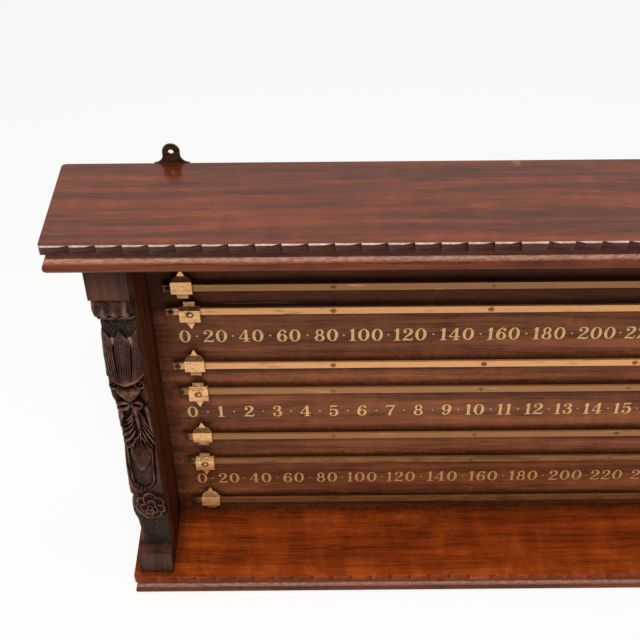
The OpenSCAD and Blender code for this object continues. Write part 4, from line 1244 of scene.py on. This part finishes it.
# %% [markdown]
# From the top down come a swelling mould of round lobes, a thin lip, a punched band and the
# tulip. The tulip is a shallow cup of three pointed leaves, with fine flutes and a rolled rim at
# its foot. Between the leaves' tips the wood slopes back to the band in two pale wedges.


# %% Mould, lip, band and tulip
def mould_height(u, z):
    """Lobes side by side under the capital, above a thin lip."""
    valley = 0.5 - 0.5 * np.cos(2 * np.pi * (u - 1.2) / 11.2)
    swell = 13.6 + 7.8 * np.sqrt(np.clip(1 - ((z - 460.5) / 16.2) ** 2, 0, 1))
    front = swell - 2.3 * valley * ease(476, 458, z)
    side = ease(-11.5, -18, u) * 3.5
    foot = MOULD_FOOT + 2.4 * valley
    lip = 11.2 + 3.8 * np.sqrt(np.clip(1 - ((z - LIP_MID) / 1.9) ** 2, 0, 1))
    return np.where(z > foot, front - side, np.where(z > LIP_MID + 1.9, 10.4, lip) - 0.6 * side)


def tulip_height(u, z):
    """A cup of three pointed leaves, and punched ground above them."""
    v = u - along(z, MID_LINE)
    side = np.abs(v)
    cup = RELIEF - 5.2 * (v / 21) ** 2 - 1.3 * ease(352, 378, z) + 0.8 * ease(384, 408, z)
    centre, beside = along(z, CENTRE_LEAF), along(z, SIDE_LEAF)
    fan = v * 10 / np.maximum(centre, 4)
    flutes = 0.9 * (0.5 + 0.5 * np.cos(2 * np.pi * fan / 3.1)) ** 2
    flutes = flutes * ease(417, 398, z) * ease(343, 356, z)
    from_edge = np.abs(np.where(side < centre, centre, beside) - side)
    lip = 0.7 * (1 - ease(0.3, 1.6, from_edge)) * ease(384, 404, z)
    leaf = cup - flutes + lip - 0.9 * ease(0, 9, side) * (side < centre)
    on_leaf = (side < centre) | (side > beside)
    wedge = cup - 0.4 - 0.34 * np.clip(z - 400, 0, 40)
    ground = GROUND + 1.2 - 1.5 * punches(u, z)
    head = 414.5 + 3.4 * ease(1, 6, np.abs(side - 11.5))
    body = np.where(on_leaf, leaf, np.where(z > head, ground, wedge))
    body = body - np.where(z < 402, groove(side - centre, 1.5, 1.1), 0) * ease(345, 375, z)
    rim_z = RIM_FOOT + 9.5 * (v / 18.5) ** 2
    roll = 1.1 * np.sqrt(np.clip(1 - ((z - rim_z - 1.6) / 2.0) ** 2, 0, 1))
    body = np.where(z > LEAF_TIPS, ground, body) + roll
    return np.where(z < rim_z, -9.0, body)


def wedge_mask(u, z):
    """1 on the two pale wedges between the leaves' tips."""
    v = np.abs(u - along(z, MID_LINE))
    between = (v > along(z, CENTRE_LEAF)) & (v < along(z, SIDE_LEAF))
    return between * ease(398, 407, z) * ease(414, 409, z)


print("cup in the middle:", tulip_height(np.array([0.0]), np.array([370.0])).round(1), "mm")

# %% [markdown]
# Below the cup hang a smooth bud between two round eyes, a bow of two curled leaves, and a long
# stem with feathered strokes. The curls are ovals, raised with the pillow, and each is hollowed
# by the same pillow with its sign turned.


# %% Bud and bow
def bud_height(u, z):
    """A smooth drop between two eyes, in a dark hollow under the cup's rim."""
    v = u - along(z, MID_LINE)
    hollow = 4.2 - 0.8 * punches(u, z) + 2.0 * ease(8, 19, np.abs(v))
    half = 17.5 * np.sqrt(np.clip((z - BUD_FOOT + 1) / 24, 0.001, 1))
    bud = pillow(np.abs(v) - half, 8.2, 9) * ease(339, 325, z)
    eye = np.hypot((np.abs(v) - 14.2) / 5.9, (z - 337.5) / 6.6)
    lid = 4.4 * (1 - ease(0.06, 0.3, np.abs(eye - 0.88)))
    ball = 3.2 * np.sqrt(np.clip(1 - (eye / 0.4) ** 2, 0, 1))
    return np.maximum(hollow + np.where(eye < 0.9, 0, bud), hollow + np.maximum(lid, ball))


def bow_height(u, z):
    """Two curled leaves that meet in the middle, each with a dark hollow inside its curl."""
    v = u - 3.2
    low = np.where(v > 0, 0.9, 0) + 0.14 * np.abs(v)
    reach = np.where(v > 0, 8.2, 7.2)
    tilt = z - BOW_MID + low
    curl = from_oval(np.abs(v), tilt, reach, 0, reach + 0.3, 6.8)
    inside = from_oval(np.abs(v), tilt, reach + 0.2, 2.7 - 0.1 * np.abs(v), reach - 1.9, 3.1)
    crease = groove(from_oval(np.abs(v), tilt, reach, 0, reach - 1.6, 4.9), 0.7, 0.8)
    return 4.5 + pillow(curl, 8.4, 2.6) - pillow(inside, 6.2, 1.8) - np.where(curl < 0, crease, 0)


print("bow at a curl:", bow_height(np.array([11.0]), np.array([310.0])).round(1), "mm")

# %% [markdown]
# The strokes are listed as a carver would first draw them on the wood, each as a few points of
# place and half width. They start at the stem and sweep down and out, past a smooth blade on
# each side.

# %% Stem
STROKES = [
    [(0.5, 300, 1.3), (3.5, 290, 1.4), (7.5, 283, 1.1), (12, 279, 0.4)],
    [(1.5, 291, 1.1), (5, 281, 1.5), (11, 274, 1.1), (15, 271, 0.4)],
    [(2.5, 281, 1.1), (7, 271, 1.5), (14.5, 264, 1.1), (18, 261, 0.4)],
    [(3, 271, 1.1), (9, 260, 1.5), (17, 254, 1.0), (20, 252, 0.4)],
    [(3.5, 260, 1.1), (10, 248, 1.5), (19, 242, 0.8)],
    [(4, 249, 1.0), (9.5, 237, 1.3), (17, 229, 0.6)],
    [(-4, 299, 1.3), (-8, 288, 1.3), (-12.5, 279, 0.5)],
    [(-4.5, 293, 1.1), (-11, 275, 1.4), (-18.3, 259, 0.7)],
    [(-4.6, 284, 1.1), (-11.5, 266, 1.4), (-19, 246, 0.6)],
    [(-5, 275, 1.1), (-11, 254, 1.4), (-18.5, 235, 0.6)],
    [(-4.2, 264, 1.0), (-9, 244, 1.3), (-15, 229, 0.5)],
    [(-1, 256, 1.0), (3.5, 240, 1.1), (8, 226, 0.4)],
    [(2, 250, 1.0), (8, 237, 1.2), (12.6, 222, 1.1), (11.5, 210, 0.5)],
    [(-2.5, 252, 1.0), (-8.5, 236, 1.2), (-12.4, 220, 1.1), (-9.5, 207, 0.5)],
    [(-0.5, 244, 0.9), (-3.5, 232, 1.0), (-6, 218, 0.4)],
]
STEM = [(-1.6, STEM_HEAD + 2, 3.6), (-2.2, 286, 2.9), (-3, 262, 1.7), (-1.5, 246, 1.0),
        (0.3, STEM_FOOT, 0.4)]
BLADES = [
    [(14.5, 298, 1.6), (16.6, 288, 3.6), (17.6, 278, 2.6), (19.5, 268, 0.6)],
    [(-13, 299, 1.4), (-15.6, 287, 3.2), (-16.4, 270, 2.8), (-17.5, 254, 0.6)],
]


def stem_height(u, z):
    """A tapering stem, feathered strokes, and a smooth blade on each side."""
    height = GROUND - 2.2 + 0.8 * np.cos(0.9 * z + 0.7 * np.abs(u))
    for line in BLADES:
        height = np.maximum(height, GROUND - 2 + pillow(from_stroke(u, z, line) - 0.8, 5.4, 4.2))
    for k, line in enumerate(STROKES):
        stroke = pillow(from_stroke(u, z, line), 5.6 - 0.2 * (k % 6), 1.4)
        height = np.maximum(height, GROUND - 2 + stroke)
    return np.maximum(height, GROUND - 2 + pillow(from_stroke(u, z, STEM), 8.2, 2.6))


print("stem near its head:", stem_height(np.array([-2.0]), np.array([290.0])).round(1), "mm")

# %% [markdown]
# The shield carries a pointed leaf on punched ground inside a beaded rim, with smooth cheeks
# beside its round foot. The beads are a cosine along the rim's run, which goes down both sides
# and round the foot.


# %% Shield
def shield_height(u, z):
    """A leaf on punched ground inside a beaded rim that runs down both sides and round the foot."""
    middle = 3.2 - 0.024 * np.clip(z - SHIELD_MID, 0, 60)
    reach = 14.7 + 0.03 * np.clip(z - SHIELD_MID, 0, 60)
    below = from_oval(u, z, 3.2, SHIELD_MID, 14.7, SHIELD_MID - SHIELD_FOOT)
    edge = np.where(z < SHIELD_MID, below, np.abs(u - middle) - reach)
    turn = np.arctan2(u - 3.2, SHIELD_MID - z)
    run = np.where(z < SHIELD_MID, 18 * turn, np.sign(u - 3.2) * (z - SHIELD_MID + 18 * np.pi / 2))
    bead = 0.5 + 0.5 * np.cos(2 * np.pi * run / 4.1)
    cheek = GROUND - 2.4 + pillow(-edge, 5.2, 4.5)
    inside = GROUND - 0.6 - 1.4 * punches(u, z)
    rim = GROUND - 0.8 + (1.2 + 3.8 * bead) * (1 - ease(0.4, 1.9, np.abs(edge + 1.3)))
    up = np.clip((z - 190.5) / (SHIELD_HEAD - 190.5), 0, 1)
    leaf = np.abs(u - 2.6 * (1 - up)) - 12.6 * np.sin(np.pi * 0.5 * up**0.75)
    blade = GROUND - 0.4 + pillow(leaf, 3.6, 5) + 1.5 * (1 - ease(0.3, 1.3, np.abs(leaf + 1.0)))
    veins = groove(np.sin((z + 1.3 * np.abs(u - 1)) * 0.8) * 2, 0.8, 0.8)
    field = np.where(leaf < 0, blade - veins, inside)
    return np.where(edge > 0, cheek, np.maximum(field, rim))


print("shield at its leaf:", shield_height(np.array([1.0]), np.array([200.0])).round(1), "mm")

# %% [markdown]
# Under the shield sits a carved rose, whose petals lie one over the next. Each has a raised rim
# and a hollow face, in rings of nine, seven and four about a bud. Small random shifts keep the
# rings from looking stamped, and a fixed seed makes them the same each time.

# %% Rose
RINGS = [
    (9, 0.78, 8.6, 0.0, 0.3),
    (7, 0.52, 7.6, 1.4, 0.75),
    (4, 0.25, 5.8, 2.8, 0.2),
    (1, 0.0, 3.4, 3.8, 0),
]


def petal_places():
    """Each petal's middle, half sizes and lift, from the outer ring to the bud."""
    places, uneven = [], np.random.default_rng(4)
    for count, reach, size, lift, start in RINGS:
        for k in range(count):
            turn = start + 2 * math.pi * k / count
            shift_u, shift_z, grow = uneven.uniform((-1.6, -2.0, 0.86), (1.6, 2.0, 1.18))
            middle_u = reach * ROSE_ACROSS * math.cos(turn) - 0.3 + shift_u
            middle_z = ROSE_MID + reach * ROSE_UP * math.sin(turn) + shift_z
            across, up = size * grow, size * grow * 1.2
            places.append((middle_u, middle_z, across, up, lift + 0.5 * (k % 2)))
    return places


def rose_height(u, z):
    """Cupped petals with raised rims on a low dome, each lying over the one before."""
    out = np.hypot((u + 0.3) / ROSE_ACROSS, (z - ROSE_MID) / ROSE_UP)
    dome = 7.6 * np.sqrt(np.clip(1 - (out / 1.08) ** 2.4, 0, 1))
    height = np.where(out < 0.95, GROUND - 3.2 + dome, -9.0)
    for middle_u, middle_z, across, up, lift in petal_places():
        gap = from_oval(u, z, middle_u, middle_z, across, up)
        veins = 0.35 * np.cos(9 * np.arctan2(z - middle_z, u - middle_u))
        rim = 0.7 + 0.5 * np.cos(2.1 * middle_u + middle_z)
        rim = rim * (1 - ease(0.1, 1.3, np.abs(gap + 0.8)))
        hollow = 1.8 * ease(0.5, 4.0, -gap)
        petal = GROUND - 1.2 + dome + lift - hollow + rim + veins * ease(1, 4, -gap)
        under = np.where(gap < 0.8, np.minimum(height, petal - 2.6), height)
        height = np.where(gap < 0, petal, under)
    return height


print("petals:", len(petal_places()))

# %% [markdown]
# The whole face takes, at each height, the form that stands out most. Where one form runs out
# under the next it sinks away, and a gouge's fine unevenness lies over everything.


# %% The whole face
def ground_mask(z, height):
    """1 on the punched grounds, above the leaves and under the rose."""
    above = (z > LEAF_TIPS - 12) & (z < BAND_HEAD) & (height < GROUND + 1.8)
    below = (z < ROSE_MID + 25) & (height < GROUND - 0.7)
    return (above | below).astype(float)


def carved_height(u, z):
    """The whole face, eased over along both of its sides."""
    cup = np.where(z > BUD_FOOT, tulip_height(u, z), -9.0)
    height = np.where(z > BAND_HEAD, mould_height(u, z), cup)
    forms = (
        (BUD_FOOT - 1, 355, bud_height(u, z)),
        (295, BUD_FOOT + 3, bow_height(u, z)),
        (200, STEM_HEAD + 1, stem_height(u, z) - 4 * ease(236, 205, z)),
        (148, 240, shield_height(u, z) - 4 * ease(212, 238, z)),
        (0, 158, rose_height(u, z)),
        (0, 152, GROUND - 1.6 - 1.5 * punches(u, z)),
    )
    for low, high, form in forms:
        height = np.where((z > low) & (z < high), np.maximum(height, form), height)
    height = np.maximum(height, 3.4) + 0.28 * tooling(u, z, 2.2) + 0.35 * tooling(u + 9, z, 5.1)
    edge = np.minimum(along(z, SIDE_LINE) - u, u - PIL_INNER + 1.0)
    return height - 2.6 * (1 - np.sqrt(np.clip(1 - (1 - np.clip(edge / 4.0, 0, 1)) ** 2, 0, 1)))


print("rose near its middle:", carved_height(np.array([0.9]), np.array([129.0])).round(1), "mm")

# %% [markdown]
# The height becomes a mesh of small cells about half a millimetre wide. The right pilaster is the
# left one mirrored, as a carver would make the pair. A flat back and upright sides close it, so
# it is a solid block of wood like the CAD piece that it stands in for.


# %% From a height to a solid board
def blurred(height, cells):
    """The height averaged over a square of cells."""
    for axis in (0, 1):
        before, after = height.take([0] * cells, axis), height.take([-1] * cells, axis)
        padded = np.concatenate([before, height, after], axis)
        total = np.cumsum(padded, axis)
        ends = np.arange(2 * cells, padded.shape[axis])
        sums = total.take(ends, axis) - total.take(ends - 2 * cells, axis)
        height = sums / (2 * cells)
    return height


def closed_board(front):
    """Corners, faces and border of a block, from its carved face and a flat back."""
    columns, rows = front.shape[:2]
    index = np.arange(columns * rows).reshape(columns, rows)
    border = np.concatenate([index[:-1, 0], index[-1, :-1], index[:0:-1, -1], index[0, :0:-1]])
    back = front.reshape(-1, 3)[border].copy()
    back[:, 1] = CASE_FRONT_Y
    cells = [index[:-1, :-1], index[1:, :-1], index[1:, 1:], index[:-1, 1:]]
    quads = np.stack(cells, -1).reshape(-1, 4)
    behind = columns * rows + np.arange(len(border))
    sides = np.stack([border, behind, np.roll(behind, -1), np.roll(border, -1)], -1)
    faces = quads.tolist() + sides.tolist() + [behind[::-1].tolist()]
    return np.vstack([front.reshape(-1, 3), back]).tolist(), faces, border


def keep_measure(mesh, name, values, border):
    """Stores a measure of each point of the face. The back's points get 0."""
    values = np.concatenate([values.ravel(), np.zeros(len(border))])
    mesh.attributes.new(name, "FLOAT", "POINT").data.foreach_set("value", values)


print("a flat height stays flat when blurred:", bool(np.allclose(blurred(np.ones((9, 9)), 2), 1)))

# %% [markdown]
# The finish paints shade and dirt into the cuts and wear and a highlight onto the ridges, so each
# point of the face keeps how far it stands above or below its surroundings, for the finish to use.
# Three widths of blur find fine strokes and broad hollows alike.

# %% Carved pilasters
CELLS_ACROSS, CELLS_UP = 84, 820
BLURS, STANDS_OUT = (3, 8, 17), 1.3
SHARP_FROM = math.radians(50)


def carved_pilaster(side):
    """A closed carved board. Side is 1 on the right and -1 on the left."""
    z = np.linspace(PIL_FOOT, PIL_HEAD, CELLS_UP)[None, :].repeat(CELLS_ACROSS, 0)
    u = PIL_INNER + np.linspace(0, 1, CELLS_ACROSS)[:, None] * (along(z, SIDE_LINE) - PIL_INNER)
    height = carved_height(u, z)
    across = side * (CLEAR_HALF - PIL_INNER * MM + u * MM)
    front = np.stack([across, CASE_FRONT_Y - height * MM, SHELF_Z + z * MM], -1)
    corners, faces, border = closed_board(front)
    if side < 0:
        faces = [face[::-1] for face in faces]
    name = "right" if side > 0 else "left"
    mesh = bpy.data.meshes.new(f"carved_pilaster_{name}")
    mesh.from_pydata(corners, [], faces)
    around = sum(blurred(height, cells) for cells in BLURS) / len(BLURS)
    bare = wedge_mask(u, z) - blurred(ground_mask(z, height), 2)
    keep_measure(mesh, "stand", np.clip((height - around) / STANDS_OUT, -1, 1), border)
    keep_measure(mesh, "bare", bare, border)
    mesh.materials.append(WOOD["carved"])
    mesh.shade_smooth()
    mesh.set_sharp_from_angle(angle=SHARP_FROM)
    piece = bpy.data.objects.new(f"carved_pilaster_{name}", mesh)
    bpy.context.scene.collection.objects.link(piece)
    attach(piece, "case")
    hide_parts(f"pilaster_{name}")
    return piece


for side in (-1, 1):
    print("carved", carved_pilaster(side).name)

# %% [markdown]
# ## Floor, light and camera
# The photograph looks down on the board in soft white studio light. The floor is one large
# sheet. To the camera and in mirrors it glows nearly white by itself, and to lamps it is a plain
# pale surface, so the background is white while the board keeps its shadow.

# %% Floor
FLOOR_HALF = 12
FLOOR_PALE = (0.93, 0.925, 0.915, 1)
FLOOR_MIRRORED, FLOOR_GLOW = 0.95, 0.84


def seen_directly(tree):
    """1 where the camera looks, also through glass, and Light Path's outputs."""
    path = put(tree, "ShaderNodeLightPath").outputs
    return math_of(tree, "MAXIMUM", path["Is Camera Ray"], path["Is Transmission Ray"]), path


def floor_sheet(half):
    """A plain square floor under the board."""
    mesh = bpy.data.meshes.new("floor")
    corners = [(-half, -half, 0), (half, -half, 0), (half, half, 0), (-half, half, 0)]
    mesh.from_pydata(corners, [], [(0, 1, 2, 3)])
    floor = bpy.data.objects.new("floor", mesh)
    bpy.context.scene.collection.objects.link(floor)
    material, tree, shader, _ = new_material("pale floor")
    shader.inputs["Base Color"].default_value = FLOOR_PALE
    shader.inputs["Roughness"].default_value = 0.9
    seen, path = seen_directly(tree)
    mirrored = math_of(tree, "MULTIPLY", path["Is Glossy Ray"], FLOOR_MIRRORED)
    level = math_of(tree, "MAXIMUM", seen, mirrored)
    glow = put(tree, "ShaderNodeEmission", {"Color": (1, 1, 1, 1), "Strength": level})
    looked_at = math_of(tree, "MAXIMUM", seen, path["Is Glossy Ray"])
    share = math_of(tree, "MULTIPLY", looked_at, FLOOR_GLOW)
    blend = put(tree, "ShaderNodeMixShader", {0: share, 1: shader.outputs[0], 2: glow.outputs[0]})
    tree.links.new(blend.outputs[0], tree.nodes["Material Output"].inputs["Surface"])
    mesh.materials.append(material)
    return floor


print("stage:", floor_sheet(FLOOR_HALF).name)

# %% [markdown]
# The world is white to the camera and weak to everything else. In mirrors it is bright behind
# the board and dark towards the viewer, as a studio is, and that is what gives the rounded brass
# and the polish a light and a dark side.

# %% World
DARK_STUDIO, LIGHT_STUDIO, FILL = 0.06, 0.8, 0.24


def studio_world():
    """A white world whose strength depends on what kind of ray meets it."""
    world = bpy.data.worlds.new("studio")
    world.use_nodes = True
    sky = world.node_tree
    seen, path = seen_directly(sky)
    toward = place_parts(sky, put(sky, "ShaderNodeTexCoord").outputs["Generated"])
    studio = remap(sky, toward["Y"], -0.35, 0.2, DARK_STUDIO, LIGHT_STUDIO)
    mirrored = math_of(sky, "MULTIPLY", path["Is Glossy Ray"], studio)
    fill = math_of(sky, "MULTIPLY", path["Is Diffuse Ray"], FILL)
    strength = math_of(sky, "MAXIMUM", math_of(sky, "MAXIMUM", seen, mirrored), fill)
    backdrop = sky.nodes["Background"]
    backdrop.inputs["Color"].default_value = (1, 1, 1, 1)
    sky.links.new(strength, backdrop.inputs["Strength"])
    return world


bpy.context.scene.world = studio_world()
print("world:", bpy.context.scene.world.name)

# %% [markdown]
# Two large soft lamps light the board from the front left and from above. They are kept out of
# mirrors, because a lamp's sharp rectangle would show on the polish. A small third lamp is
# mirrored, and makes the soft sheen on the cornice.

# %% Lamps
AIM = (0, 0, 0.35)
LAMP_WHITE = (1.0, 0.97, 0.93)


def softbox(name, place, size, power, mirrored=False):
    """A rectangular lamp that faces the board. A mirrored one shows as a highlight on polish."""
    lamp = bpy.data.lights.new(name, "AREA")
    lamp.shape, lamp.size, lamp.size_y = "RECTANGLE", size[0], size[1]
    lamp.energy, lamp.color = power, LAMP_WHITE
    holder = bpy.data.objects.new(name, lamp)
    holder.location = place
    toward = Vector(AIM) - Vector(place)
    holder.rotation_euler = toward.to_track_quat("-Z", "Y").to_euler()
    bpy.context.scene.collection.objects.link(holder)
    holder.visible_camera, holder.visible_glossy = False, mirrored
    return holder


softbox("key softbox", (-0.35, -1.45, 2.7), (1.3, 0.9), 56)
softbox("overhead softbox", (0.1, -0.3, 2.9), (2.4, 0.9), 22)
softbox("bounce patch", (-0.24, -1.25, 3.0), (0.7, 0.35), 12, mirrored=True)

# %% [markdown]
# The camera's lens, place and tilt come from the photograph's own perspective: its vertical
# edges meet at one point and the sizes of the board fix the distance. It leans less than half a
# degree, as a hand-held picture does.

# %% Camera
PIXELS = 640
FOCAL_PIXELS = 1079
SENSOR = 36
TILT_DOWN = 41.8
LEAN = -0.0085
CAMERA_PLACE = (-0.20805, PANEL_Y - 0.95, SHELF_Z + 1.2027)
lens = bpy.data.cameras.new("photo camera")
lens.sensor_width = SENSOR
lens.lens = SENSOR * FOCAL_PIXELS / PIXELS
camera = bpy.data.objects.new("photo camera", lens)
camera.matrix_world = (
    Matrix.Translation(CAMERA_PLACE)
    @ Matrix.Rotation(math.radians(90 - TILT_DOWN), 4, "X")
    @ Matrix.Rotation(LEAN, 4, "Z")
)
bpy.context.scene.collection.objects.link(camera)
bpy.context.scene.camera = camera
bpy.context.scene.view_settings.view_transform = "Standard"
print("lens", round(lens.lens, 2), "mm")
